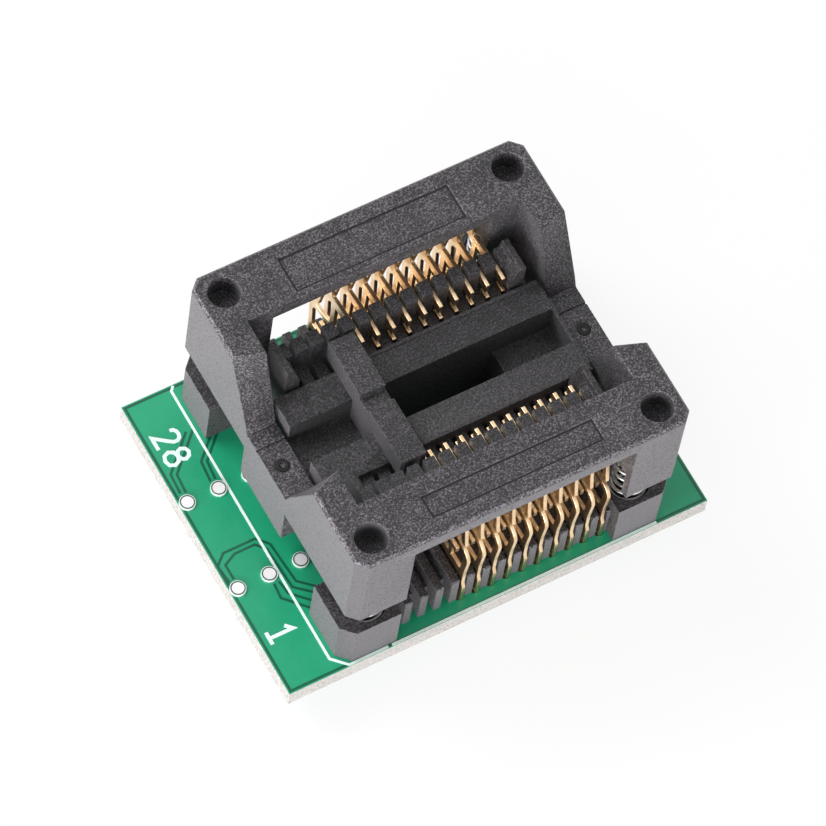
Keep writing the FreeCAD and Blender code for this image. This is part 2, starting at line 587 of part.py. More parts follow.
def make_cover():
    """Moulded cover: window frame, four legs, two saddle-shaped sides with latch tabs, cam ribs."""
    cover = new_body("cover")
    inner_x = "tower_half_length + cover_gap"
    plate_bottom = "cover_top - cover_plate"
    corner = "cover_corner"
    rim = [
        ("-cover_half_length", f"-cover_half_width + {corner}"),
        (f"-cover_half_length + {corner}", "-cover_half_width"),
        (f"cover_half_length - {corner}", "-cover_half_width"),
        ("cover_half_length", f"-cover_half_width + {corner}"),
        ("cover_half_length", f"cover_half_width - {corner}"),
        (f"cover_half_length - {corner}", "cover_half_width"),
        (f"-cover_half_length + {corner}", "cover_half_width"),
        ("-cover_half_length", f"cover_half_width - {corner}"),
    ]
    window = rectangle(f"-({inner_x})", inner_x, "-window_half_width", "window_half_width")
    pad(cover, outline_sketch(cover, "frame", "XY_Plane", [rim, window], plate_bottom), "cover_plate")

    leg = [
        ("post_inner_x", "window_half_width"),
        ("cover_half_length", "window_half_width"),
        ("cover_half_length", f"cover_half_width - {corner}"),
        (f"cover_half_length - {corner}", "cover_half_width"),
        ("post_inner_x", "cover_half_width"),
    ]
    pad(cover, outline_sketch(cover, "legs", "XY_Plane", four_corners(leg), "leg_bottom"),
        "cover_top - leg_bottom")
    side = rectangle(inner_x, "cover_half_length", "-window_half_width", "window_half_width")
    pad(cover, outline_sketch(cover, "sides", "XY_Plane", both_ends(side), "leg_bottom"),
        "cover_top - leg_bottom")
    tab = rectangle(inner_x, "cover_half_length", "-tab_half_width", "tab_half_width")
    pad(cover, outline_sketch(cover, "tabs", "XY_Plane", both_ends(tab), "tab_bottom"),
        "leg_bottom - tab_bottom")
    hook_tip = f"{inner_x} - hook_reach"
    hook = [
        (inner_x, "tab_bottom"),
        (inner_x, "tab_bottom + hook_height"),
        (hook_tip, "tab_bottom + hook_height"),
        (hook_tip, "tab_bottom + hook_lead"),
        (f"{hook_tip} + hook_lead", "tab_bottom"),
    ]
    pad(cover, outline_sketch(cover, "hooks", "XZ_Plane", both_ends(hook)), "2 * tab_half_width",
        symmetric=True)
    cam = rectangle("-post_inner_x", "post_inner_x", "cam_near", "cam_far")
    pad(cover, outline_sketch(cover, "cam_ribs", "XY_Plane", both_rows(cam), f"{plate_bottom} - cam_drop"),
        "cam_drop")

    saddle = []
    for name, lift, ridge in (("saddle_inner", f"{inner_x} - {CUT_MARGIN}", "saddle_ridge_inner"),
                              ("saddle_outer", f"cover_half_length + {CUT_MARGIN}", "saddle_ridge_outer")):
        half = [
            (ridge, f"cover_top + {CUT_MARGIN}"),
            (ridge, "cover_top"),
            ("saddle_half_width + saddle_knee_run", "saddle_floor + saddle_knee_rise"),
            ("saddle_half_width", "saddle_floor"),
        ]
        outline = half + list(reversed(mirrored(half, flip_h=True)))
        saddle.append(outline_sketch(cover, name, "YZ_Plane", [outline], lift))
    scoop = cover.newObject("PartDesign::SubtractiveLoft", "saddle")
    scoop.Profile = saddle[0]
    scoop.Sections = [saddle[1]]
    scoop.Ruled = True
    mirror_feature(cover, scoop, "YZ_Plane")

    spring_axes = [(f"{x}spring_x", f"{y}spring_y") for x in ("-", "") for y in ("-", "")]
    bore = "spring_outer_diameter / 2 + spring_clearance"
    spring_top = "floor_height + spring_length"
    pocket(cover, circle_sketch(cover, "spring_bores", spring_axes, f"2 * ({bore})", spring_top),
           f"{spring_top} - leg_bottom")
    mouth = rectangle(f"post_inner_x - {CUT_MARGIN}", "spring_x", f"spring_y - ({bore})",
                      f"spring_y + {bore}")
    pocket(cover, outline_sketch(cover, "spring_mouths", "XY_Plane", four_corners(mouth), spring_top),
           f"{spring_top} - leg_bottom")

    dimples = [(f"{x}dimple_x", f"{y}dimple_y") for x in ("-", "") for y in ("-", "")]
    pocket(cover, circle_sketch(cover, "dimples", dimples, "dimple_diameter", "cover_top"), "dimple_depth")
    panels = [
        rectangle("-panel_half_length", "panel_half_length", "rear_panel_near", "rear_panel_far"),
        rectangle("-panel_half_length", "panel_half_length", "-front_panel_far", "-front_panel_near"),
    ]
    pocket(cover, outline_sketch(cover, "panels", "XY_Plane", panels, "cover_top"), "panel_depth")
    seam = rectangle(f"{inner_x} - {CUT_MARGIN}", f"cover_half_length + {CUT_MARGIN}",
                     "seam_y - seam_width / 2", "seam_y + seam_width / 2")
    pocket(cover, outline_sketch(cover, "seams", "XY_Plane", both_ends(seam), "saddle_floor"), "seam_depth")
    gate_x = f"(cover_half_length + {inner_x}) / 2"
    pocket(cover, circle_sketch(cover, "gates", [(gate_x, "-gate_y"), (f"-({gate_x})", "-gate_y")],
                                "gate_diameter", "saddle_floor"), "gate_depth")

    doc.recompute()
    finished = cover.Tip
    rim_edges = []
    for number, edge in enumerate(finished.Shape.Edges, 1):
        middle = edge.CenterOfMass
        on_top = abs(edge.BoundBox.ZMin - size("cover_top")) < 1e-6 > abs(edge.BoundBox.ZLength)
        past_x = abs(middle.x) - size("cover_half_length")
        past_y = abs(middle.y) - size("cover_half_width")
        if on_top and (max(past_x, past_y) > -1e-6 or past_x + past_y > -size("cover_corner") - 1e-6):
            rim_edges.append(f"Edge{number}")
    edge_bevel = cover.newObject("PartDesign::Chamfer", "edge_bevel")
    edge_bevel.Base = (finished, rim_edges)
    edge_bevel.setExpression("Size", sized("cover_edge"))
    place(cover, "socket_shift")
    return cover


SPRING_RADIUS = "(spring_outer_diameter - spring_wire) / 2"
OPEN_PITCH = "(spring_length - spring_wire - 2 * seat_gap - 2 * closed_pitch) / spring_turns"


def spring_path():
    """Half turns, each leaning one way, that meet smoothly and climb half a step."""
    halves = []
    closed = ["closed_pitch"] * 2
    steps = closed + [f"({OPEN_PITCH})"] * (2 * int(size("spring_turns"))) + closed
    base = "0"
    for number, step in enumerate(steps):
        half = doc.addObject("Part::Circle", f"spring_half_turn_{number}")
        near = number % 2 == 0
        half.Angle1 = 0 if near else 180
        half.Angle2 = 180 if near else 360
        half.setExpression("Radius", sized(f"hypot({SPRING_RADIUS}; {step} / 4)"))
        half.setExpression("Placement.Base.z", sized(f"{base} + {step} / 4"))
        half.Placement.Rotation = FreeCAD.Rotation(FreeCAD.Vector(0, 1, 0), 1)
        lean = f"atan({step} / 4 / ({SPRING_RADIUS}))"
        half.setExpression("Placement.Rotation.Angle", sized(lean if near else f"-{lean}"))
        halves.append(half)
        base = f"{base} + {step} / 2"
    path = doc.addObject("Part::Compound", "spring_path")
    path.Links = halves
    return path


def spring_section():
    wire = doc.addObject("Part::Circle", "spring_wire_section")
    wire.setExpression("Radius", sized("spring_wire / 2"))
    wire.Placement = FreeCAD.Placement(FreeCAD.Vector(0, 0, 0),
                                       FreeCAD.Rotation(FreeCAD.Vector(1, 0, 0), 90))
    wire.setExpression("Placement.Base.x", sized(SPRING_RADIUS))
    return wire


def make_spring(label, path, wire, x_text, y_text):
    """Compression spring between the post's pocket and the seat in the cover's leg."""
    spring = doc.addObject("Part::Sweep", label)
    spring.Label = label
    spring.Sections = [wire]
    spring.Spine = (path, [])
    spring.Solid = True
    spring.Frenet = True
    spring.setExpression("Placement.Base.x", sized(f"socket_shift + {x_text}"))
    spring.setExpression("Placement.Base.y", sized(y_text))
    spring.setExpression("Placement.Base.z",
                         sized(f"{BOARD_TOP} + floor_height + seat_gap + spring_wire / 2"))
    return spring


def make_contact(label, number, front):
    """Blanked contact: tail, foot, bar with fixed jaw and horn, spring band, arm with prong and lever."""
    contact = new_body(label)
    under = "-board_thickness - tail_drop"
    bar_top = "slot_floor + bar_height"
    band_inner = "bow_outer - band_width"
    jaw_back = "jaw_outer - jaw_stem"
    horn_stem = "horn_outer - horn_hook"
    frame = [
        ("tail_outer - tail_width", under),
        ("tail_outer", under),
        ("tail_outer", "0"),
        ("foot_outer", "0"),
        ("foot_outer", "foot_height"),
        ("leg_outer", "foot_height + foot_kink"),
        ("leg_outer", bar_top),
        (horn_stem, bar_top),
        (horn_stem, "horn_top - horn_head"),
        ("horn_outer", "horn_top - horn_head"),
        ("horn_outer", "horn_top"),
        (f"{horn_stem} - horn_width", "horn_top"),
        (f"{horn_stem} - horn_width", bar_top),
        ("jaw_outer", bar_top),
        ("jaw_outer", "jaw_top"),
        ("jaw_inner", "jaw_top"),
        ("jaw_inner", "jaw_top - jaw_tip_height / 2"),
        (jaw_back, "jaw_top - jaw_tip_height"),
        (jaw_back, "slot_floor"),
        ("tail_outer - tail_width", "slot_floor"),
    ]
    band_top = "bow_centre_z + bow_outer - bow_centre_y"
    column_inner = "column_outer - band_width"
    band = [
        ("leg_outer", bar_top),
        ("bow_outer", "bow_centre_z", "bow_outer - bow_centre_y", 1),
        ("bow_centre_y", band_top),
        (f"{column_inner} + column_bend", f"{band_top} + band_rise", "column_bend - band_width", -1),
        ("column_outer", f"{band_top} + band_rise + column_bend - band_width"),
        ("column_outer", "arm_bottom + band_width / 2"),
        (column_inner, "arm_bottom + band_width / 2"),
        (column_inner, f"{band_top} + band_rise + column_bend - band_width", "column_bend", 1),
        (f"{column_inner} + column_bend", f"{band_top} + band_rise - band_width"),
        ("bow_centre_y", f"{band_top} - band_width", f"{band_inner} - bow_centre_y", -1),
        (band_inner, "bow_centre_z"),
        ("leg_outer - band_width", bar_top),
    ]
    cam_seat = "cover_top - cover_plate - cam_drop - cam_contact_gap"
    head_middle = "(cam_near + cam_far) / 2"
    arm = [
        ("prong_tip", "jaw_top + prong_gap"),
        ("prong_tip + prong_width", "jaw_top + prong_gap"),
        ("prong_shoulder", "arm_bottom + band_width / 2"),
        (column_inner, "arm_bottom"),
        ("lever_outer - 2 * lever_width", "arm_bottom"),
        ("lever_outer - lever_width", "lever_bend"),
        ("lever_outer_low - lever_width", "lever_bottom"),
        ("lever_outer_low", "lever_bottom"),
        ("lever_outer", "lever_bend"),
        ("lever_outer", f"{cam_seat} - lever_head_bevel"),
        (f"{head_middle} + lever_head_width / 2", cam_seat),
        (f"{head_middle} - lever_head_width / 2", cam_seat),
        (f"{head_middle} - lever_head_width", f"{cam_seat} - lever_head_bevel"),
        ("column_outer", "arm_top"),
        ("prong_crest_y", "prong_crest_z"),
        ("prong_tip", "prong_crest_z - prong_slope"),
    ]
    for name, outline in (("frame", frame), ("band", band), ("arm", arm)):
        sketch = outline_sketch(contact, f"{label}_{name}", "YZ_Plane", [outline])
        pad(contact, sketch, "contact_thickness", symmetric=True)
    x_text = f"socket_shift + {FIRST_CONTACT_X} + contact_pitch * {number}"
    place(contact, x_text, turned=front)
    return contact


nodes = [make_board(), make_base(), make_locator(), make_cover()]
path = spring_path()
wire = spring_section()
for corner, x_text, y_text in (("front_left", "-spring_x", "-spring_y"),
                               ("front_right", "spring_x", "-spring_y"),
                               ("rear_left", "-spring_x", "spring_y"),
                               ("rear_right", "spring_x", "spring_y")):
    nodes.append(make_spring("spring_" + corner, path, wire, x_text, y_text))
for row_name, front in (("front", True), ("rear", False)):
    for number in range(int(size("contacts_per_row"))):
        nodes.append(make_contact(f"contact_{row_name}_{number + 1:02d}", number, front))
    side = "-" if front else ""
    for number in range(int(size("pins_per_row"))):
        nodes.append(make_pin(f"pin_{row_name}_{number + 1:02d}", f"{FIRST_PIN_X} + pin_pitch * {number}",
                              f"{side}pin_row_spacing / 2"))
doc.recompute()

for item in doc.Objects:
    if "Invalid" in item.State or "Error" in item.State:
        raise RuntimeError(f"{item.Name} failed: {item.getStatusString()}")
    if item.TypeId in ("PartDesign::Pocket", "PartDesign::SubtractiveLoft"):
        if item.Shape.Volume >= item.BaseFeature.Shape.Volume:
            raise RuntimeError(f"{item.Name} cuts nothing")
os.makedirs("parts", exist_ok=True)
for node in nodes:
    if node.Shape.isNull() or not node.Shape.isValid():
        raise RuntimeError(f"{node.Label} has no valid shape")
    node.Shape.exportStep(f"parts/{node.Label}.step")
    print(node.Label, len(node.Shape.Solids), len(node.Shape.Faces), round(node.Shape.Volume, 2))
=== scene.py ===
import math

import bmesh
import bpy
from mathutils import Matrix, Vector


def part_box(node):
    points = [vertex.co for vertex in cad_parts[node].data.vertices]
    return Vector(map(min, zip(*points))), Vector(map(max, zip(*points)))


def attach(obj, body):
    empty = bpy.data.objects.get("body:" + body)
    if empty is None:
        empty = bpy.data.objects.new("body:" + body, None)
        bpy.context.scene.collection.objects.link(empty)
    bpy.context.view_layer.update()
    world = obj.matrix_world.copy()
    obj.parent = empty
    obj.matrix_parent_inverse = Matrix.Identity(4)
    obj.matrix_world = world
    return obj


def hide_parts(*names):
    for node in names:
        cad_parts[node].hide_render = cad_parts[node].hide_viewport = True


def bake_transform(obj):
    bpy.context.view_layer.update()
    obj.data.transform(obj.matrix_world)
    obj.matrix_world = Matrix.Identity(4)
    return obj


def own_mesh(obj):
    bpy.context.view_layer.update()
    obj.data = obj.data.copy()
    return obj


bl_info = {
    "name": "Chip socket adapter",
    "version": (1, 0, 0),
    "blender": (4, 5, 0),
    "location": "3D View > Sidebar > Adapter",
    "description": "Dresses an open-top chip socket on its plug-in board",
    "category": "Object",
}

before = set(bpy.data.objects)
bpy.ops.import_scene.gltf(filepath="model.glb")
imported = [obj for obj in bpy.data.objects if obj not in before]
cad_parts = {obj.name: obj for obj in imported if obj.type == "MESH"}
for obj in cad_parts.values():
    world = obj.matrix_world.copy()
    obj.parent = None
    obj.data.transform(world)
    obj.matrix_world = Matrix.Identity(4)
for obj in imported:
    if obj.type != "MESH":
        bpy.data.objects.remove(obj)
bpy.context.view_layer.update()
MM = 0.001
ROW_SIDES = {"front": -1, "rear": 1}

BOARD_LOW, BOARD_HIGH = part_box("pcb")
TOP = BOARD_HIGH.z
UNDER = BOARD_LOW.z
COVER_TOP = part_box("cover")[1].z


def nodes_of(kind, row=None):
    """Names of the frame's nodes of one kind, in order along X."""
    start = kind if row is None else f"{kind}_{row}"
    names = [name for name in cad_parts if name.startswith(start)]
    return sorted(names, key=lambda name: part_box(name)[0].x)


def middle_of(name):
    """Middle of a node's box."""
    low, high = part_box(name)
    return (low + high) / 2


def pitch_of(kind):
    """Step between neighbours of a row, along X."""
    first, second = nodes_of(kind, "front")[:2]
    return middle_of(second).x - middle_of(first).x


SOCKET_X = middle_of("socket_base").x
PIN_PITCH = pitch_of("pin")
CONTACT_PITCH = pitch_of("contact")

# Head of a plug pin, and shares of its radius for the rim of the painted shade ring on the head and the
# hole in the pad

PIN_LOW, PIN_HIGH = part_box(nodes_of("pin", "front")[0])
HEAD_RADIUS = (PIN_HIGH.x - PIN_LOW.x) / 2
HEAD_SHADE_SHARE = 0.90
HOLE_SHARE = 0.72

# Middle of a contact's tail, inward from the contact's outer side

TAIL_INSET = 0.26 * MM


# Sizes and colours that a user would change


class BoardFinish(bpy.types.PropertyGroup):
    mask_green: bpy.props.FloatVectorProperty(
        name="Mask", description="Solder mask over copper", subtype="COLOR",
        default=(0.010, 0.320, 0.158))
    gap_green: bpy.props.FloatVectorProperty(
        name="Gaps", description="Solder mask in the gaps between copper areas", subtype="COLOR",
        default=(0.002, 0.085, 0.045))
    laminate: bpy.props.FloatVectorProperty(
        name="Laminate", description="Cut edge of the board", subtype="COLOR",
        default=(0.44, 0.42, 0.40))
    print_white: bpy.props.FloatVectorProperty(
        name="Print", description="White print on the mask", subtype="COLOR",
        default=(0.76, 0.90, 0.86))
    line_width: bpy.props.FloatProperty(
        name="Print line", description="Width of the printed outline", default=0.20 * MM,
        unit="LENGTH")
    # Width of the painted shade ring near the rim of a pin head
    head_shade_width: bpy.props.FloatProperty(
        name="Shade_ring", description="Dark shade_ring near the rim of a pin head", default=0.085 * MM,
        unit="LENGTH")
    pad_width: bpy.props.FloatProperty(
        name="Pad", description="Tinned pad round a pin under the board", default=0.20 * MM,
        unit="LENGTH")
    tail_pad: bpy.props.FloatProperty(
        name="Tail pad", description="Outer radius of a pad round a contact's tail", default=0.50 * MM,
        unit="LENGTH")
    tail_hole: bpy.props.FloatProperty(
        name="Tail hole", description="Inner radius of a pad round a contact's tail",
        default=0.28 * MM, unit="LENGTH")
    gap_width: bpy.props.FloatProperty(
        name="Gap", description="Width of the gap beside a copper track", default=0.19 * MM,
        unit="LENGTH")
    copper_margin: bpy.props.FloatProperty(
        name="Copper margin", description="Bare rim of the board round its copper",
        default=0.20 * MM, unit="LENGTH")
    digit_height: bpy.props.FloatProperty(
        name="Digits", description="Height of the printed digits", default=1.9 * MM, unit="LENGTH")
    stroke_width: bpy.props.FloatProperty(
        name="Stroke", description="Stroke of the printed digits", default=0.28 * MM, unit="LENGTH")
    skin: bpy.props.FloatProperty(
        name="Skin", description="Height of print, grooves and pads over the mask",
        default=0.02 * MM, unit="LENGTH")


class PlasticFinish(bpy.types.PropertyGroup):
    charcoal: bpy.props.FloatVectorProperty(
        name="Charcoal", description="Moulded glass-filled plastic", subtype="COLOR",
        default=(0.011, 0.0095, 0.011))
    # Pale specks of the filler, partly painted glints of the rough moulded surface
    fleck_and_glint: bpy.props.FloatVectorProperty(
        name="Fleck_and_glint", description="Pale flecks of the filler", subtype="COLOR",
        default=(0.300, 0.270, 0.310))
    dust: bpy.props.FloatProperty(
        name="Dust", description="Pale bloom of the moulded skin at flat angles", default=0.12)
    # Painted highlight on the outer upright sides, where the low lamps light them
    side_sheen: bpy.props.FloatVectorProperty(
        name="Side_sheen", description="Pale bloom on the smooth outer sides", subtype="COLOR",
        default=(0.088, 0.082, 0.091))
    # Shade skin: thickness of the near-black strips, painted shade round the panels and the dark rings in
    # the marks
    shade_skin: bpy.props.FloatProperty(
        name="Shade skin", description="Thickness of the dark_strips in corners and marks", default=0.03 * MM,
        unit="LENGTH")
    # Width of the painted shade line round each sunk panel
    panel_line: bpy.props.FloatProperty(
        name="Panel line", description="Width of the dark line round a sunk panel", default=0.14 * MM,
        unit="LENGTH")
    edge_radius: bpy.props.FloatProperty(
        name="Edge", description="Rounding of the moulded edges", default=0.07 * MM, unit="LENGTH")
    rib_edge: bpy.props.FloatProperty(
        name="Rib edge", description="Rounding of the ribs' edges", default=0.045 * MM,
        unit="LENGTH")


class MetalFinish(bpy.types.PropertyGroup):
    gold: bpy.props.FloatVectorProperty(
        name="Gold", description="Plating of the contacts", subtype="COLOR",
        default=(0.94, 0.72, 0.46))
    gold_tarnish: bpy.props.FloatVectorProperty(
        name="Gold tarnish", description="Darker clouds in the gold", subtype="COLOR",
        default=(0.50, 0.25, 0.09))
    tin: bpy.props.FloatVectorProperty(
        name="Tin", description="Plating of the plug pins and pads", subtype="COLOR",
        default=(0.93, 0.90, 0.92))
    pin_tarnish: bpy.props.FloatVectorProperty(
        name="Pin tarnish", description="Darker clouds on the plug pins", subtype="COLOR",
        default=(0.62, 0.60, 0.62))
    pad_tarnish: bpy.props.FloatVectorProperty(
        name="Pad tarnish", description="Darker clouds on the pads", subtype="COLOR",
        default=(0.42, 0.43, 0.44))
    steel: bpy.props.FloatVectorProperty(
        name="Steel", description="Wire of the springs", subtype="COLOR",
        default=(0.62, 0.62, 0.61))
    steel_tarnish: bpy.props.FloatVectorProperty(
        name="Steel tarnish", description="Darker clouds on the wire", subtype="COLOR",
        default=(0.16, 0.16, 0.17))


class ContactShape(bpy.types.PropertyGroup):
    edge: bpy.props.FloatProperty(
        name="Edge", description="Rounding of the blanked edges", default=0.05 * MM, unit="LENGTH")
    crest_reach: bpy.props.FloatProperty(
        name="Crest reach", description="Crest of a prong from the middle of the socket",
        default=6.2 * MM, unit="LENGTH")
    crest_height: bpy.props.FloatProperty(
        name="Crest height", description="Crest of a prong above the board", default=11.5 * MM,
        unit="LENGTH")
    crest_play: bpy.props.FloatProperty(
        name="Crest play", description="Points of a prong that lie higher by this belong to its crest",
        default=0.3 * MM, unit="LENGTH")
    prong_reach: bpy.props.FloatProperty(
        name="Prong reach", description="Outer side of the prongs from the middle of the socket",
        default=7.0 * MM, unit="LENGTH")
    jaw_reach: bpy.props.FloatProperty(
        name="Jaw reach", description="Tip of a jaw from the middle of the socket", default=4.5 * MM,
        unit="LENGTH")
    root_reach: bpy.props.FloatProperty(
        name="Root reach", description="Foot of the moving lever from the middle of the socket",
        default=7.2 * MM, unit="LENGTH")
    root_height: bpy.props.FloatProperty(
        name="Root height", description="Foot of the moving lever above the board",
        default=9.0 * MM, unit="LENGTH")
    horn_reach: bpy.props.FloatProperty(
        name="Horn reach", description="End of the lever under the cover, from the middle",
        default=9.5 * MM, unit="LENGTH")
    horn_height: bpy.props.FloatProperty(
        name="Horn height", description="End of the lever under the cover, above the board",
        default=11.0 * MM, unit="LENGTH")


class SpringWinding(bpy.types.PropertyGroup):
    wire: bpy.props.FloatProperty(
        name="Wire", description="Diameter of the wire", default=0.24 * MM, unit="LENGTH")
    turns: bpy.props.FloatProperty(
        name="Turns", description="Turns with the closed ones at both ends", default=9.5)
    steps_per_turn: bpy.props.IntProperty(
        name="Steps", description="Points along one turn", default=28)
    wire_sides: bpy.props.IntProperty(
        name="Sides", description="Points round the wire", default=10)
    closed_rise: bpy.props.FloatProperty(
        name="Closed rise", description="Rise of a closed end turn, in wire diameters", default=1.05)


class StageSettings(bpy.types.PropertyGroup):
    camera_place: bpy.props.FloatVectorProperty(
        name="Camera", description="Camera from the middle of the board's top face",
        default=(-139.2986 * MM, -173.0386 * MM, 426.2835 * MM), unit="LENGTH")
    camera_down: bpy.props.FloatProperty(
        name="Down", description="How far the camera looks down", default=math.radians(62.1327),
        unit="ROTATION")
    camera_side: bpy.props.FloatProperty(
        name="Side", description="How far the camera looks to the right of +Y",
        default=math.radians(38.6630), unit="ROTATION")
    camera_roll: bpy.props.FloatProperty(
        name="Roll", description="Roll about the line of sight", default=math.radians(10.9005),
        unit="ROTATION")
    focal_share: bpy.props.FloatProperty(
        name="Focal share", description="Focal length in widths of the picture", default=8.09507)
    room_light: bpy.props.FloatProperty(
        name="Room", description="Light from all sides", default=0.40)
    floor_white: bpy.props.FloatProperty(
        name="Floor white", description="Share of the floor that shows as plain white", default=0.85)
    floor_size: bpy.props.FloatProperty(
        name="Floor", description="Side of the floor", default=3.0, unit="LENGTH")
    backdrop: bpy.props.FloatVectorProperty(
        name="Backdrop", description="Floor and background", subtype="COLOR",
        default=(1.0, 1.0, 1.0))


# Node trees


class Field:
    """A number that varies over a surface or along a path. Operators on it add Math nodes."""

    def __init__(self, graph, socket):
        self.graph = graph
        self.socket = socket

    def maths(self, operation, *values):
        node = self.graph.add("ShaderNodeMath", {"operation": operation}, dict(enumerate(values)))
        return Field(self.graph, node.outputs[0])

    def __add__(self, other):
        return self.maths("ADD", self, other)

    __radd__ = __add__

    def __sub__(self, other):
        return self.maths("SUBTRACT", self, other)

    def __rsub__(self, other):
        return self.maths("SUBTRACT", other, self)

    def __mul__(self, other):
        return self.maths("MULTIPLY", self, other)

    __rmul__ = __mul__

    def __truediv__(self, other):
        return self.maths("DIVIDE", self, other)

    def __rtruediv__(self, other):
        return self.maths("DIVIDE", other, self)

    def below(self, other):
        return self.maths("LESS_THAN", self, other)

    def at_least(self, other):
        return self.maths("MAXIMUM", self, other)

    def at_most(self, other):
        return self.maths("MINIMUM", self, other)

    def size(self):
        return self.maths("ABSOLUTE", self)

    def sine(self):
        return self.maths("SINE", self)

    def cosine(self):
        return self.maths("COSINE", self)


class Graph:
    """A node tree whose nodes all come from add()."""

    def __init__(self, tree):
        self.tree = tree

    def add(self, kind, settings=None, sockets=None):
        """Any node: its settings come first, then the values or links of its sockets."""
        node = self.tree.nodes.new(kind)
        for name, value in (settings or {}).items():
            setattr(node, name, value)
        for key, value in (sockets or {}).items():
            self.feed(node.inputs[key], value)
        return node

    def feed(self, socket, value):
        """Links a field or a socket, or sets a plain value."""
        source = value.socket if isinstance(value, Field) else value
        if isinstance(source, bpy.types.NodeSocket):
            self.tree.links.new(source, socket)
        else:
            socket.default_value = source

    def ray(self, *kinds):
        """1 where a ray is of one of the kinds."""
        path = self.add("ShaderNodeLightPath")
        first, *others = (Field(self, path.outputs[f"Is {kind} Ray"]) for kind in kinds)
        for other in others:
            first = first.at_least(other)
        return first


class Finish(Graph):
    """A node material with one Principled shader."""

    def __init__(self, name):
        self.material = bpy.data.materials.new(name)
        self.material.use_nodes = True
        super().__init__(self.material.node_tree)
        self.tree.nodes.clear()
        self.shader = self.add("ShaderNodeBsdfPrincipled")
        self.output = self.add("ShaderNodeOutputMaterial", {}, {"Surface": self.shader.outputs[0]})
        self.output.is_active_output = True
        self.coordinates = self.add("ShaderNodeTexCoord").outputs["Object"]

    def set(self, **sockets):
        """Values or links of the Principled shader, spaces written as underscores."""
        for name, value in sockets.items():
            self.feed(self.shader.inputs[name.replace("_", " ")], value)

    def noise(self, per_mm, detail=2.0, roughness=0.5, stretch=(1.0, 1.0, 1.0)):
        """Noise with so many spots to the millimetre."""
        scaled = self.add("ShaderNodeMapping", {}, {"Vector": self.coordinates, "Scale": stretch})
        node = self.add("ShaderNodeTexNoise", {"noise_dimensions": "3D"}, {
            "Vector": scaled.outputs[0], "Scale": per_mm / MM, "Detail": detail,
            "Roughness": roughness})
        return Field(self, node.outputs[0])

    def axis(self, source, name):
        node = self.add("ShaderNodeSeparateXYZ", {}, {0: source})
        return Field(self, node.outputs[name])

    def place(self, name):
        return self.axis(self.coordinates, name)

    def normal(self, name):
        return self.axis(self.add("ShaderNodeNewGeometry").outputs["Normal"], name)

    def mix(self, share, low, high):
        """Colour between low and high."""
        node = self.add("ShaderNodeMix", {"data_type": "RGBA"}, {0: share, 6: low, 7: high})
        return node.outputs[2]

    def ramp(self, share, low, high):
        """0 below low, 1 above high, straight between."""
        node = self.add("ShaderNodeMapRange", {"clamp": True}, {
            "Value": share, "From Min": low, "From Max": high})
        return Field(self, node.outputs[0])

    def bump(self, height, distance_mm):
        node = self.add("ShaderNodeBump", {}, {"Height": height, "Distance": distance_mm * MM})
        self.set(Normal=node.outputs[0])


def rgba(colour, gain=1.0):
    """Opaque colour, made darker or lighter by a gain."""
    return tuple(min(1.0, part * gain) for part in colour) + (1.0,)


def laminate_finish(settings):
    """Glossy green mask on the faces, pale speckled glass laminate on the cut edge."""
    finish = Finish("laminate")
    facing = finish.normal("Z").size()
    edge = facing.below(0.5)
    cloud = finish.noise(0.30, detail=3.0)
    weave = finish.noise(3.5, detail=2.0)
    mask = finish.mix(cloud * 0.7 + weave * 0.3, rgba(settings.mask_green, 0.80),
                      rgba(settings.mask_green, 1.16))
    layers = finish.noise(5.0, detail=2.0, stretch=(0.15, 0.15, 1.8))
    grit = finish.noise(5.5, detail=3.0, roughness=0.7)
    cut = finish.mix(layers, rgba(settings.laminate, 0.78), rgba(settings.laminate, 1.25))
    cut = finish.mix(finish.ramp(grit, 0.50, 0.64) * 0.75, cut, rgba(settings.laminate, 0.42))
    finish.set(Base_Color=finish.mix(edge, mask, cut), Roughness=0.34 + edge * 0.5,
               Coat_Weight=(1.0 - edge) * 0.12, Coat_Roughness=0.12)
    finish.bump(finish.noise(2.2, detail=3.0) * (1.0 - edge) + grit * edge * 3.0, 0.008)
    return finish.material


def gap_finish(settings):
    """Darker mask where it sinks between two copper areas."""
    finish = Finish("mask_gaps")
    cloud = finish.noise(0.6, detail=2.0)
    finish.set(Base_Color=finish.mix(cloud, rgba(settings.gap_green, 0.7),
                                     rgba(settings.gap_green, 1.5)),
               Roughness=0.30 + cloud * 0.08)
    finish.bump(finish.noise(2.5, detail=2.0), 0.006)
    return finish.material


def print_finish(settings):
    """White screen print: slightly uneven, with tiny pinholes."""
    finish = Finish("board_print")
    grain = finish.noise(9.0, detail=3.0)
    finish.set(Base_Color=finish.mix(finish.ramp(grain, 0.60, 0.74), rgba(settings.print_white),
                                     rgba(settings.print_white, 0.72)),
               Roughness=0.55 + grain * 0.1)
    finish.bump(grain, 0.006)
    return finish.material


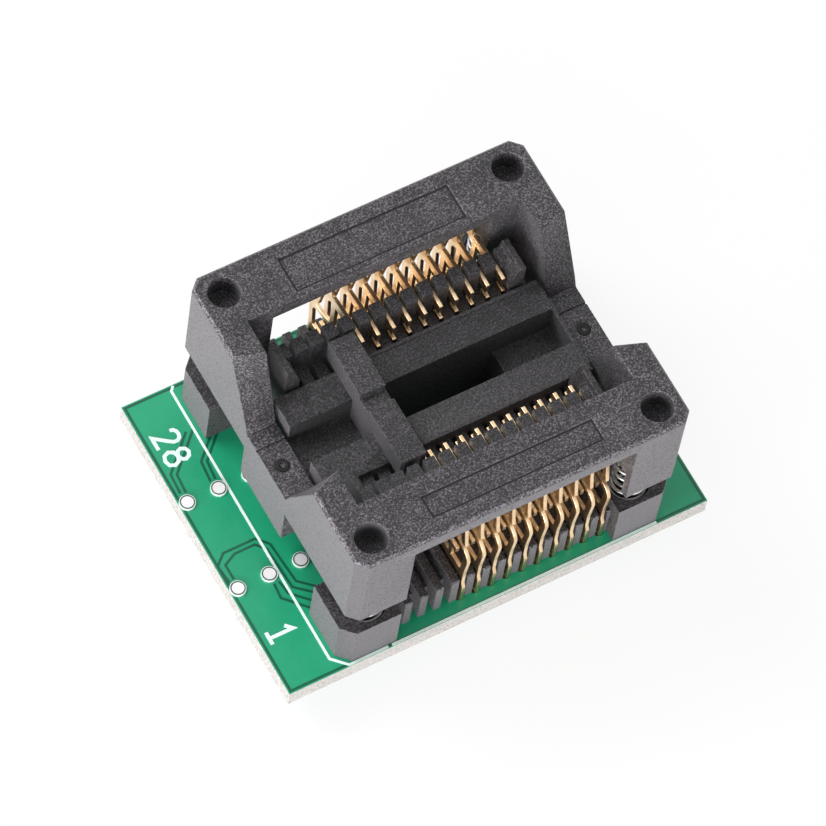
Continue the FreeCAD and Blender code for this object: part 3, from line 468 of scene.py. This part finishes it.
def plastic_finish(name, settings, gain, fleck_and_glint_share):
    """Charcoal glass-filled plastic: pale specks, partly painted glints, and pits; painted highlights on
    the rounded edges and on the lit outer sides.
    """
    finish = Finish(name)
    mottle = finish.noise(0.8, detail=3.0, roughness=0.6)
    salt = finish.noise(7.2, detail=3.0, roughness=0.70)
    pepper = finish.noise(7.0, detail=2.0)
    up = finish.normal("Z").size()
    outward = finish.normal("X") * (finish.place("X") - SOCKET_X) + finish.normal("Y") * finish.place("Y")
    # Outward-facing upright sides: painted highlight where the low lamps light them; the inner walls, which
    # lie in shade, are left out
    sides = finish.ramp(outward, 3.0 * MM, 8.0 * MM) * (1.0 - finish.ramp(up, 0.25, 0.60))
    # Rounded edges: painted highlight, broken up by noise
    edge_highlight = finish.ramp(up, 0.50, 0.62) * (1.0 - finish.ramp(up, 0.80, 0.92))
    # Pale specks: the filler's own, partly painted glints on the rough top faces; fewer on the lit outer
    # sides
    flecks_and_glints = finish.ramp(salt + mottle * 0.12, 0.53, 0.70) * fleck_and_glint_share * (1.0 - sides * 0.7)
    base = finish.mix(mottle, rgba(settings.charcoal, 0.40 * gain), rgba(settings.charcoal, 1.2 * gain))
    # Painted highlight: the lit outer sides turn pale
    base = finish.mix(sides * (0.75 + mottle * 0.5), base, rgba(settings.side_sheen))
    colour = finish.mix(flecks_and_glints, base, rgba(settings.fleck_and_glint, gain))
    colour = finish.mix(edge_highlight * finish.ramp(salt, 0.40, 0.60) * 0.55, colour, rgba(settings.fleck_and_glint))
    pits = finish.ramp(pepper, 0.56, 0.64)
    finish.set(Base_Color=finish.mix(pits * (0.8 - sides * 0.5), colour, rgba(settings.charcoal, 0.25)),
               Roughness=0.40 + mottle * 0.16 + pits * 0.25, Sheen_Weight=settings.dust,
               Sheen_Roughness=0.45)
    finish.bump(salt * 1.2 + mottle * 0.6 - pits * 0.6, 0.022)
    return finish.material


def shade_finish(settings):
    """Near-black colour: painted shade along the foot of the panels' steps, and the dark rings in the round
    marks.
    """
    finish = Finish("panel_shade")
    grain = finish.noise(6.0, detail=2.0)
    finish.set(Base_Color=finish.mix(grain, rgba(settings.charcoal, 0.15), rgba(settings.charcoal, 0.6)),
               Roughness=0.75 + grain * 0.1)
    finish.bump(grain, 0.01)
    return finish.material


def metal_finish(name, colour, dark, roughness, scratches=(1.0, 1.0, 1.0), tarnish=0.35, metal=1.0):
    """Plated metal: rolling marks along one way, cloudy tarnish, uneven gloss."""
    finish = Finish(name)
    cloud = finish.noise(1.1, detail=3.0)
    lines = finish.noise(9.0, detail=2.0, stretch=scratches)
    shade = finish.ramp(cloud, 0.42, 0.70) * tarnish
    finish.set(Base_Color=finish.mix(shade + lines * 0.12, rgba(colour), rgba(dark)),
               Metallic=metal, Roughness=roughness + cloud * 0.12 + lines * 0.06)
    finish.bump(lines, 0.006)
    return finish.material


# Digits as strokes, in heights of a digit: first along the text, then upwards

DIGIT_STEP = 0.82
DIGITS = {
    "1": [[(0.10, 0.76), (0.34, 1.0), (0.34, 0.0)], [(0.06, 0.0), (0.60, 0.0)]],
    "2": [[(0.05, 0.76), (0.08, 0.90), (0.18, 0.98), (0.32, 1.0), (0.46, 0.96), (0.55, 0.84),
           (0.54, 0.68), (0.42, 0.50), (0.05, 0.0), (0.60, 0.0)]],
    "8": [[(0.32, 0.54), (0.14, 0.62), (0.08, 0.77), (0.16, 0.93), (0.32, 1.0), (0.48, 0.93),
           (0.56, 0.77), (0.50, 0.62), (0.32, 0.54)],
          [(0.32, 0.54), (0.11, 0.46), (0.02, 0.27), (0.11, 0.07), (0.32, 0.0), (0.53, 0.07),
           (0.62, 0.27), (0.53, 0.46), (0.32, 0.54)]],
}


# Pin numbers: text, and the place where it starts, from the middle of the board in millimetres

NUMBERS = (("28", -15.4, 9.6), ("1", -15.4, -7.6))

# Gaps beside the copper tracks, from the middle of the board in millimetres

TRACK_GAPS = (
    ((-13.9, 8.9), (-16.5, 6.35), (-16.6, 4.7)),
    ((-13.3, 8.9), (-16.1, 6.15), (-16.2, 4.6)),
    ((-14.2, 4.6), (-14.05, 6.3), (-12.2, 8.1)),
    ((-13.8, 4.6), (-13.65, 6.15), (-11.9, 7.85)),
    ((-16.8, -3.1), (-16.95, -1.6), (-16.1, -0.85), (-13.5, -0.85), (-12.75, -1.7), (-12.5, -5.1),
     (-11.3, -6.2)),
    ((-16.4, -3.0), (-16.4, -1.75), (-15.4, -1.25), (-13.75, -1.25), (-13.15, -1.95), (-12.95, -5.4),
     (-11.6, -6.6)),
    ((-13.6, -4.6), (-13.45, -5.7), (-12.1, -7.05)),
    ((-14.0, -4.6), (-14.1, -5.8), (-12.5, -7.5)),
)


# Limits for points that are one, faces that are one flat, edges that are corners, and level faces

DOUBLE = 0.0005 * MM
FLAT = math.radians(0.6)
CORNER = math.radians(28.0)
SOFT_CORNER = math.radians(60.0)
LEVEL = 0.999

# Growth of each slab over the last, as a share of their height

SLAB_STEP = 0.02


# Mesh helpers


def dressed(name, mesh, material):
    """An object at the origin, whose place is in its mesh."""
    piece = bpy.data.objects.new(name, mesh)
    bpy.context.scene.collection.objects.link(piece)
    mesh.materials.clear()
    mesh.materials.append(material)
    return piece


def show(name, mesh, body, material):
    """A finished piece that rides on a body."""
    piece = dressed(name, mesh, material)
    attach(piece, body)
    return piece


def merged_copy(names):
    """One clean mesh from copies of nodes: doubles merged, flat regions made single faces."""
    work = bmesh.new()
    for name in names:
        work.from_mesh(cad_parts[name].data)
    bmesh.ops.remove_doubles(work, verts=work.verts, dist=DOUBLE)
    bmesh.ops.dissolve_degenerate(work, edges=work.edges, dist=DOUBLE)
    bmesh.ops.dissolve_limit(work, angle_limit=FLAT, verts=work.verts, edges=work.edges,
                             use_dissolve_boundaries=False)
    return mesh_of(work, names[0] + "_dressed")


def mesh_of(work, name):
    """The plain mesh of a bmesh, which is freed."""
    mesh = bpy.data.meshes.new(name)
    work.to_mesh(mesh)
    work.free()
    return mesh


def shaded(mesh, angle):
    """Smooth shading, with sharp edges where faces meet at more than the angle."""
    mesh.shade_smooth()
    mesh.set_sharp_from_angle(angle=angle)


def rounded(mesh, width):
    """The mesh with its edges rounded, as a plain mesh with smooth shading on the rounds."""
    holder = bpy.data.objects.new("holder", mesh)
    bpy.context.scene.collection.objects.link(holder)
    shaded(mesh, CORNER)
    bevel = holder.modifiers.new("edges", "BEVEL")
    bevel.width = width
    bevel.segments = 2
    bevel.limit_method = "ANGLE"
    bevel.angle_limit = CORNER
    bevel.use_clamp_overlap = False
    bevel.harden_normals = True
    bevel.miter_outer = "MITER_ARC"
    result = plain_mesh(holder, mesh.name + "_round")
    bpy.data.objects.remove(holder)
    return result


def plain_mesh(holder, name):
    """What an object's modifiers make of it, as a mesh of its own."""
    bpy.context.view_layer.update()
    evaluated = holder.evaluated_get(bpy.context.evaluated_depsgraph_get())
    mesh = bpy.data.meshes.new_from_object(evaluated)
    mesh.name = name
    return mesh


def flat_bar(work, corners, low, high):
    """A thin slab over a polygon in plan, added to a bmesh."""
    bottom = [work.verts.new((x, y, low)) for x, y in corners]
    top = [work.verts.new((x, y, high)) for x, y in corners]
    work.faces.new(list(reversed(bottom)))
    work.faces.new(top)
    for index in range(len(corners)):
        after = (index + 1) % len(corners)
        work.faces.new((bottom[index], bottom[after], top[after], top[index]))


def plan_strip(points, width):
    """Corners of a strip of constant width along a path in plan.

    A path that ends where it starts is a loop."""
    left = []
    right = []
    last = len(points) - 1
    loop = (points[0] - points[last]).length < DOUBLE
    for index, point in enumerate(points):
        before = after = None
        if index or loop:
            before = (point - points[index - 1 if index else last - 1]).normalized()
        if index < last or loop:
            after = (points[index + 1 if index < last else 1] - point).normalized()
        along = (before + after).normalized() if before and after else (before or after)
        reach = width / 2
        if before and after:
            reach /= along.dot(before)
        side = Vector((-along.y, along.x)) * reach
        left.append(point + side)
        right.append(point - side)
    return right + left[::-1]


def slab_mesh(name, outlines, height, low=TOP):
    """Thin slabs over polygons in plan. Each is a little thicker than the last, so no tops coincide."""
    work = bmesh.new()
    for index, corners in enumerate(outlines):
        flat_bar(work, corners, low, low + height * (1 + SLAB_STEP * index))
    bmesh.ops.recalc_face_normals(work, faces=work.faces)
    return mesh_of(work, name)


def level_points(name, low, high, half_width=math.inf):
    """Corners of a node's upward faces between two heights, within half_width of Y = 0."""
    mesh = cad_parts[name].data
    points = []
    for face in mesh.polygons:
        if face.normal.z > LEVEL and low < face.center.z < high and abs(face.center.y) < half_width:
            points += [mesh.vertices[index].co for index in face.vertices]
    return points


def plan_box(points):
    """Lowest and highest corner of some points, in plan."""
    return (Vector((min(point.x for point in points), min(point.y for point in points))),
            Vector((max(point.x for point in points), max(point.y for point in points))))


def socket_points(pairs):
    """Plan points given in millimetres from the middle of the socket."""
    return [Vector((SOCKET_X + x * MM, y * MM)) for x, y in pairs]


# Geometry Nodes

RING_SIDES = 40


class Growth(Graph):
    """A Geometry Nodes tree with named inputs, built in the script."""

    def __init__(self, name):
        super().__init__(bpy.data.node_groups.new(name, "GeometryNodeTree"))
        for way in ("INPUT", "OUTPUT"):
            self.tree.interface.new_socket("Geometry", in_out=way, socket_type="NodeSocketGeometry")
        self.start = self.add("NodeGroupInput")
        self.end = self.add("NodeGroupOutput")
        self.values = {}

    def input(self, name, value):
        """Named number. Its value is set on the modifier by the socket's identifier."""
        item = self.tree.interface.new_socket(name, in_out="INPUT", socket_type="NodeSocketFloat")
        self.values[item.identifier] = value
        return Field(self, self.start.outputs[name])

    def grow(self, geometry, material, name):
        """Ends the tree in Realize Instances and Set Material, and returns the plain mesh."""
        real = self.add("GeometryNodeRealizeInstances", {}, {0: geometry})
        finished = self.add("GeometryNodeSetMaterial", {}, {0: real.outputs[0], "Material": material})
        self.feed(self.end.inputs[0], finished.outputs[0])
        holder = bpy.data.objects.new(name + "_holder", bpy.data.meshes.new(name + "_seed"))
        bpy.context.scene.collection.objects.link(holder)
        modifier = holder.modifiers.new("grow", "NODES")
        modifier.node_group = self.tree
        for identifier, value in self.values.items():
            modifier[identifier] = value
        mesh = plain_mesh(holder, name)
        holder.modifiers.remove(modifier)
        bpy.data.objects.remove(holder)
        return mesh


def row_of(growth, count, start, step, unit):
    """Instances of one geometry on a straight row of points."""
    line = growth.add("GeometryNodeMeshLine", {"mode": "OFFSET", "count_mode": "TOTAL"}, {
        "Count": count, "Start Location": start, "Offset": step})
    placed = growth.add("GeometryNodeInstanceOnPoints", {}, {
        "Points": line.outputs[0], "Instance": unit})
    return placed.outputs[0]


def ring_rows(name, outer, inner, height, low, rows, material, step=0.0):
    """Flat rings on rows of points: each row is (first middle, count)."""
    growth = Growth(name)
    outer_radius = growth.input("Outer radius", outer)
    inner_radius = growth.input("Inner radius", inner)
    thickness = growth.input("Height", height)
    offset = growth.add("ShaderNodeCombineXYZ", {}, {"X": growth.input("Step", step)})
    circle = growth.add("GeometryNodeCurvePrimitiveCircle", {"mode": "RADIUS"}, {
        "Resolution": RING_SIDES, "Radius": (outer_radius + inner_radius) * 0.5})
    section = growth.add("GeometryNodeCurvePrimitiveQuadrilateral", {"mode": "RECTANGLE"}, {
        "Width": outer_radius - inner_radius, "Height": thickness})
    ring = growth.add("GeometryNodeCurveToMesh", {}, {
        "Curve": circle.outputs[0], "Profile Curve": section.outputs[0]})
    joined = growth.add("GeometryNodeJoinGeometry")
    for first, count in rows:
        place = (first.x, first.y, low + height / 2)
        row = row_of(growth, count, place, offset.outputs[0], ring.outputs[0])
        growth.feed(joined.inputs[0], row)
    return growth.grow(joined.outputs[0], material, name)


def spring_mesh(name, low, high, radius, settings, material):
    """Helix with closed ends: the height follows the turn count, slow in the end turns."""
    growth = Growth(name)
    wire = growth.input("Wire diameter", settings.wire)
    coil = growth.input("Coil radius", radius)
    turns = growth.input("Turns", settings.turns)
    length = growth.input("Length", high - low)
    line = growth.add("GeometryNodeCurvePrimitiveLine")
    points = growth.add("GeometryNodeResampleCurve", {"mode": "COUNT"}, {
        "Curve": line.outputs[0], "Count": int(settings.turns * settings.steps_per_turn) + 1})
    turn = Field(growth, growth.add("GeometryNodeSplineParameter").outputs["Factor"]) * turns
    angle = turn * (2 * math.pi)
    open_turns = turns - 2.0
    pitch = (length - wire * (1 + 2 * settings.closed_rise)) / open_turns
    open_height = (turn - 1.0).at_least(0.0).at_most(open_turns) * pitch
    closed_turns = turn.at_most(1.0) + (turn - (open_turns + 1.0)).at_least(0.0)
    height = open_height + closed_turns * wire * settings.closed_rise
    place = growth.add("ShaderNodeCombineXYZ", {}, {
        "X": angle.cosine() * coil, "Y": angle.sine() * coil, "Z": height + wire * 0.5})
    path = growth.add("GeometryNodeSetPosition", {}, {
        "Geometry": points.outputs[0], "Position": place.outputs[0]})
    section = growth.add("GeometryNodeCurvePrimitiveCircle", {"mode": "RADIUS"}, {
        "Resolution": settings.wire_sides, "Radius": wire * 0.5})
    tube = growth.add("GeometryNodeCurveToMesh", {}, {
        "Curve": path.outputs[0], "Profile Curve": section.outputs[0], "Fill Caps": True})
    return growth.grow(tube.outputs[0], material, name)


# Pieces


class ADAPTER_OT_board(bpy.types.Operator):
    """Dresses the board: mask, tracks, print, painted shade rings on the pin heads, pads below"""
    bl_idname = "adapter.board"
    bl_label = "Board"

    def execute(self, context):
        settings = context.scene.adapter_board
        metals = context.scene.adapter_metal
        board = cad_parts["pcb"]
        board.data.materials.clear()
        board.data.materials.append(laminate_finish(settings))
        print_white = print_finish(settings)
        gaps = gap_finish(settings)
        self.head_shade_rings(settings, gaps)
        self.pads(settings, metal_finish("ring_tin", metals.tin, metals.pad_tarnish, 0.24))
        self.outline(settings, print_white)
        self.numbers(settings, print_white)
        self.gaps(settings, gaps)
        return {"FINISHED"}

    def pin_rings(self, name, outer, inner, height, low, material, slot):
        """A flat ring round the middle of every pin, kept on the board."""
        rows = [(middle_of(nodes_of("pin", row)[0]), len(nodes_of("pin", row))) for row in ROW_SIDES]
        mesh = ring_rows(name, outer, inner, height, low, rows, material, PIN_PITCH)
        for vertex in mesh.vertices:
            vertex.co.x = max(BOARD_LOW.x, min(BOARD_HIGH.x, vertex.co.x))
        show(name, mesh, "base", material)

    def head_shade_rings(self, settings, material):
        """Painted shade: a dark ring near the rim of each pin's head."""
        outer = HEAD_RADIUS * HEAD_SHADE_SHARE
        self.pin_rings("pin_grooves", outer, outer - settings.head_shade_width, settings.skin, PIN_HIGH.z,
                       material, "laminate")

    def pads(self, settings, material):
        """Tinned pads under the board, round the pins and round the contacts' tails."""
        low = UNDER - settings.skin
        self.pin_rings("pin_pads", HEAD_RADIUS + settings.pad_width, HEAD_RADIUS * HOLE_SHARE,
                       settings.skin, low, material, "pin_tin")
        rows = []
        for row, side in ROW_SIDES.items():
            names = nodes_of("contact", row)
            outer = max(abs(corner.y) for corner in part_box(names[0]))
            rows.append((Vector((middle_of(names[0]).x, side * (outer - TAIL_INSET))), len(names)))
        mesh = ring_rows("tail_pads", settings.tail_pad, settings.tail_hole, settings.skin, low, rows,
                         material, CONTACT_PITCH)
        show("tail_pads", mesh, "base", material)

    def lay(self, name, strips, height, material):
        """Strips on the board's top face as one piece."""
        show(name, slab_mesh(name, strips, height), "base", material)

    def outline(self, settings, material):
        """Printed outline round the socket, open at one place along the front."""
        left, front, rear, end = -13.80, -12.56, 12.25, 12.46
        bevel, jog, bare_end = 1.03, 0.30, 0.10
        gap_start, gap_end = -9.6, -9.3
        paths = [
            [(left + jog, BOARD_HIGH.y / MM - bare_end), (left, rear), (left, front + bevel),
             (left + bevel, front), (gap_start, front)],
            [(gap_end, front), (end, front)],
        ]
        strips = [plan_strip(socket_points(path), settings.line_width) for path in paths]
        self.lay("printed_outline", strips, settings.skin, material)

    def numbers(self, settings, material):
        """Plain pin numbers along the left edge of the board."""
        strips = []
        for text, x, y in NUMBERS:
            pen = Vector((x, y)) * MM
            for digit in text:
                for stroke in DIGITS[digit]:
                    points = [pen + Vector((rise - 0.5, -run)) * settings.digit_height
                              for run, rise in stroke]
                    strips.append(plan_strip(points, settings.stroke_width))
                pen.y -= settings.digit_height * DIGIT_STEP
        self.lay("printed_numbers", strips, settings.skin, material)

    def gaps(self, settings, material):
        """Dark gaps round the board's copper area, and beside the tracks at the left end."""
        right = BOARD_HIGH.x - settings.copper_margin
        rear = BOARD_HIGH.y - settings.copper_margin
        rim = [(-right, -rear), (right, -rear), (right, rear), (-right, rear), (-right, -rear)]
        paths = [[Vector(point) for point in rim]]
        paths += [[Vector(point) * MM for point in path] for path in TRACK_GAPS]
        strips = [plan_strip(path, settings.gap_width) for path in paths]
        self.lay("mask_gaps", strips, settings.skin / 2, material)


class ADAPTER_OT_pins(bpy.types.Operator):
    """Dresses the plug pins in bright tin"""
    bl_idname = "adapter.pins"
    bl_label = "Plug pins"

    def execute(self, context):
        metals = context.scene.adapter_metal
        tin = metal_finish("pin_tin", metals.tin, metals.pin_tarnish, 0.45, tarnish=0.25, metal=0.4)
        for name in nodes_of("pin"):
            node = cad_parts[name]
            node.data.materials.clear()
            node.data.materials.append(tin)
        return {"FINISHED"}


# Depth of the cover's sunk faces, least and most

SUNK_LEAST = 0.05 * MM
SUNK_MOST = 0.5 * MM

# The cover's low parts, below its top, and the round marks there: nearness to Y = 0, radii of the dark ring

SADDLE_DROP = 2.0 * MM
MARK_BAND = 1.0 * MM
MARK_OUTER = 0.85
MARK_INNER = 0.30


class ADAPTER_OT_mouldings(bpy.types.Operator):
    """Dresses base, locator and cover: rounded edges and speckled plastic"""
    bl_idname = "adapter.mouldings"
    bl_label = "Mouldings"

    def execute(self, context):
        settings = context.scene.adapter_plastic
        # Each job: node, body, material name, edge rounding, gain of the charcoal, share of pale specks
        # that are filler and painted glints
        jobs = (
            ("socket_base", "base", "base_plastic", settings.rib_edge, 0.55, 0.55),
            ("chip_locator", "base", "locator_plastic", settings.rib_edge, 0.5, 0.8),
            ("cover", "cover", "cover_plastic", settings.edge_radius, 0.9, 0.65),
        )
        for node, body, slot, edge, gain, fleck_and_glint_share in jobs:
            plastic = plastic_finish(slot, settings, gain, fleck_and_glint_share)
            mesh = rounded(merged_copy([node]), edge)
            piece = show(node + "_moulding", mesh, body, plastic)
            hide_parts(node)
        shade = shade_finish(settings)
        self.panels(settings, shade)
        self.gates(settings, shade)
        return {"FINISHED"}

    def panels(self, settings, material):
        """Painted shade: a dark line along the foot of the step round each sunk panel of the cover."""
        points = level_points("cover", COVER_TOP - SUNK_MOST, COVER_TOP - SUNK_LEAST)
        inset = Vector((1, 1)) * settings.panel_line / 2
        strips = []
        for side in ROW_SIDES.values():
            low, high = plan_box([point for point in points if point.y * side > 0])
            (left, near), (right, far) = low + inset, high - inset
            corners = ((left, near), (right, near), (right, far), (left, far), (left, near))
            strips.append(plan_strip([Vector(corner) for corner in corners], settings.panel_line))
        mesh = slab_mesh("panel_lines", strips, settings.shade_skin, points[0].z)
        show("panel_lines", mesh, "cover", material)

    def gates(self, settings, material):
        """Dark ring in each round moulding mark on the cover's low parts."""
        saddle = max(point.z for point in level_points("cover", 0.0, COVER_TOP - SADDLE_DROP, MARK_BAND))
        points = level_points("cover", saddle - SUNK_MOST, saddle - SUNK_LEAST, MARK_BAND)
        rows = []
        for side in (-1, 1):
            low, high = plan_box([point for point in points if (point.x - SOCKET_X) * side > 0])
            rows.append(((low + high) / 2, 1))
        radius = (high.x - low.x) / 2
        mesh = ring_rows("gate_marks", radius * MARK_OUTER, radius * MARK_INNER, settings.shade_skin,
                         points[0].z, rows, material)
        show("gate_marks", mesh, "cover", material)


class ADAPTER_OT_contacts(bpy.types.Operator):
    """Dresses both contact rows. On the real socket their levers go down with the cover."""
    bl_idname = "adapter.contacts"
    bl_label = "Contacts"

    def execute(self, context):
        metals = context.scene.adapter_metal
        shape = context.scene.adapter_contact
        gold = metal_finish("contact_gold", metals.gold, metals.gold_tarnish, 0.20,
                            scratches=(3.0, 0.5, 0.5))
        for row, side in ROW_SIDES.items():
            names = nodes_of("contact", row)
            mesh = rounded(self.trimmed(merged_copy(names), shape), shape.edge)
            piece = dressed(f"contacts_{row}", mesh, gold)
            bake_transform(piece)
            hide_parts(*names)
        return {"FINISHED"}

    def trimmed(self, mesh, shape):
        """Sets the prongs' crests lower and the jaws' tips back."""
        crest = TOP + shape.crest_height
        for vertex in mesh.vertices:
            place = vertex.co
            side = math.copysign(1.0, place.y)
            if abs(place.y) < shape.jaw_reach:
                place.y = side * shape.jaw_reach
            elif abs(place.y) < shape.prong_reach and place.z > crest + shape.crest_play:
                place.y = side * shape.crest_reach
                place.z = crest
        return mesh


class ADAPTER_OT_springs(bpy.types.Operator):
    """Winds the four springs. On the real socket they shorten with the cover."""
    bl_idname = "adapter.springs"
    bl_label = "Springs"

    def execute(self, context):
        settings = context.scene.adapter_spring
        metals = context.scene.adapter_metal
        steel = metal_finish("spring_steel", metals.steel, metals.steel_tarnish, 0.30, tarnish=0.8)
        for name in nodes_of("spring"):
            low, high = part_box(name)
            middle = middle_of(name)
            radius = (high.x - low.x - settings.wire) / 2
            mesh = spring_mesh(name + "_coil", low.z, high.z, radius, settings, steel)
            mesh.transform(Matrix.Translation((middle.x, middle.y, low.z)))
            shaded(mesh, SOFT_CORNER)
            piece = show(name + "_coil", mesh, "base", steel)
            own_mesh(piece)
            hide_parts(name)
        return {"FINISHED"}


# Lamps: name, place in metres, width in metres, power in watts

LAMPS = (
    ("key", (-0.22, 0.26, 0.36), 0.30, 1.8),
    ("front", (-0.16, -0.38, 0.08), 0.22, 1.8),
    ("left", (-0.40, -0.10, 0.06), 0.22, 1.7),
)


class ADAPTER_OT_stage(bpy.types.Operator):
    """Sets the floor, the soft lights and the camera"""
    bl_idname = "adapter.stage"
    bl_label = "Stage"

    def execute(self, context):
        settings = context.scene.adapter_stage
        self.floor(settings)
        self.lights(settings)
        self.camera(settings)
        context.scene.view_settings.view_transform = "Standard"
        return {"FINISHED"}

    def floor(self, settings):
        """Paper floor that shows as plain white and in the glossy faces."""
        mesh = bpy.data.meshes.new("floor")
        half = settings.floor_size / 2
        mesh.from_pydata([(-half, -half, 0), (half, -half, 0), (half, half, 0), (-half, half, 0)],
                         [], [(0, 1, 2, 3)])
        finish = Finish("floor_paper")
        cloud = finish.noise(0.004, detail=2.0)
        finish.set(Base_Color=finish.mix(cloud, rgba(settings.backdrop, 0.96),
                                         rgba(settings.backdrop, 0.99)),
                   Roughness=0.9)
        glow = finish.add("ShaderNodeEmission", {}, {"Color": rgba(settings.backdrop), "Strength": 1.0})
        share = (finish.ray("Camera") * settings.floor_white + finish.ray("Glossy")).at_most(1.0)
        shown = finish.add("ShaderNodeMixShader", {}, {
            0: share, 1: finish.shader.outputs[0], 2: glow.outputs[0]})
        finish.feed(finish.output.inputs["Surface"], shown.outputs[0])
        floor = bpy.data.objects.new("floor", mesh)
        bpy.context.scene.collection.objects.link(floor)
        mesh.materials.append(finish.material)

    def lights(self, settings):
        """Even light from all sides, and three lamps that point at the board."""
        world = bpy.data.worlds.new("soft_room")
        bpy.context.scene.world = world
        world.use_nodes = True
        room = Graph(world.node_tree)
        room.tree.nodes.clear()
        light = room.add("ShaderNodeBackground", {}, {
            "Color": (1.0, 1.0, 1.0, 1.0), "Strength": settings.room_light})
        seen = room.add("ShaderNodeBackground", {}, {"Color": rgba(settings.backdrop), "Strength": 1.0})
        shown = room.add("ShaderNodeMixShader", {}, {
            0: room.ray("Camera", "Glossy"), 1: light.outputs[0], 2: seen.outputs[0]})
        room.add("ShaderNodeOutputWorld", {}, {"Surface": shown.outputs[0]})
        for name, place, width, power in LAMPS:
            data = bpy.data.lights.new(name, "AREA")
            data.shape = "SQUARE"
            data.size = width
            data.energy = power
            lamp = bpy.data.objects.new(name, data)
            lamp.location = place
            lamp.rotation_euler = (-Vector(place)).to_track_quat("-Z", "Y").to_euler()
            bpy.context.scene.collection.objects.link(lamp)

    def camera(self, settings):
        """Camera at the photo's place."""
        down, side = settings.camera_down, settings.camera_side
        forward = Vector((math.sin(side) * math.cos(down), math.cos(side) * math.cos(down),
                          -math.sin(down)))
        level = forward.cross(Vector((0, 0, 1))).normalized()
        upright = level.cross(forward)
        roll = Matrix.Rotation(settings.camera_roll, 3, -forward)
        right = roll @ level
        up = roll @ upright
        data = bpy.data.cameras.new("camera")
        data.sensor_fit = "HORIZONTAL"
        data.sensor_width = 36.0
        data.lens = settings.focal_share * data.sensor_width
        data.clip_start = 0.05
        data.clip_end = 20.0
        camera = bpy.data.objects.new("camera", data)
        turned = Matrix((right, up, -forward)).transposed().to_4x4()
        place = Vector(settings.camera_place) + Vector((0, 0, TOP))
        camera.matrix_world = Matrix.Translation(place) @ turned
        bpy.context.scene.collection.objects.link(camera)
        bpy.context.scene.camera = camera


OPERATORS = (ADAPTER_OT_board, ADAPTER_OT_pins, ADAPTER_OT_mouldings, ADAPTER_OT_contacts,
             ADAPTER_OT_springs, ADAPTER_OT_stage)
SETTINGS = (("adapter_board", BoardFinish), ("adapter_plastic", PlasticFinish),
            ("adapter_metal", MetalFinish), ("adapter_contact", ContactShape),
            ("adapter_spring", SpringWinding), ("adapter_stage", StageSettings))


class ADAPTER_PT_panel(bpy.types.Panel):
    """Lists the pieces and their settings"""
    bl_idname = "ADAPTER_PT_panel"
    bl_label = "Chip socket adapter"
    bl_space_type = "VIEW_3D"
    bl_region_type = "UI"
    bl_category = "Adapter"

    def draw(self, context):
        for operator in OPERATORS:
            self.layout.operator(operator.bl_idname)
        for name, group in SETTINGS:
            box = self.layout.box()
            for key in group.__annotations__:
                box.prop(getattr(context.scene, name), key)


def register():
    for name, group in SETTINGS:
        bpy.utils.register_class(group)
        setattr(bpy.types.Scene, name, bpy.props.PointerProperty(type=group))
    for operator in OPERATORS:
        bpy.utils.register_class(operator)
    bpy.utils.register_class(ADAPTER_PT_panel)


def unregister():
    bpy.utils.unregister_class(ADAPTER_PT_panel)
    for operator in reversed(OPERATORS):
        bpy.utils.unregister_class(operator)
    for name, group in reversed(SETTINGS):
        delattr(bpy.types.Scene, name)
        bpy.utils.unregister_class(group)


def main():
    register()
    bpy.ops.adapter.board()
    bpy.ops.adapter.pins()
    bpy.ops.adapter.mouldings()
    bpy.ops.adapter.contacts()
    bpy.ops.adapter.springs()
    bpy.ops.adapter.stage()


if __name__ == "__main__":
    main()
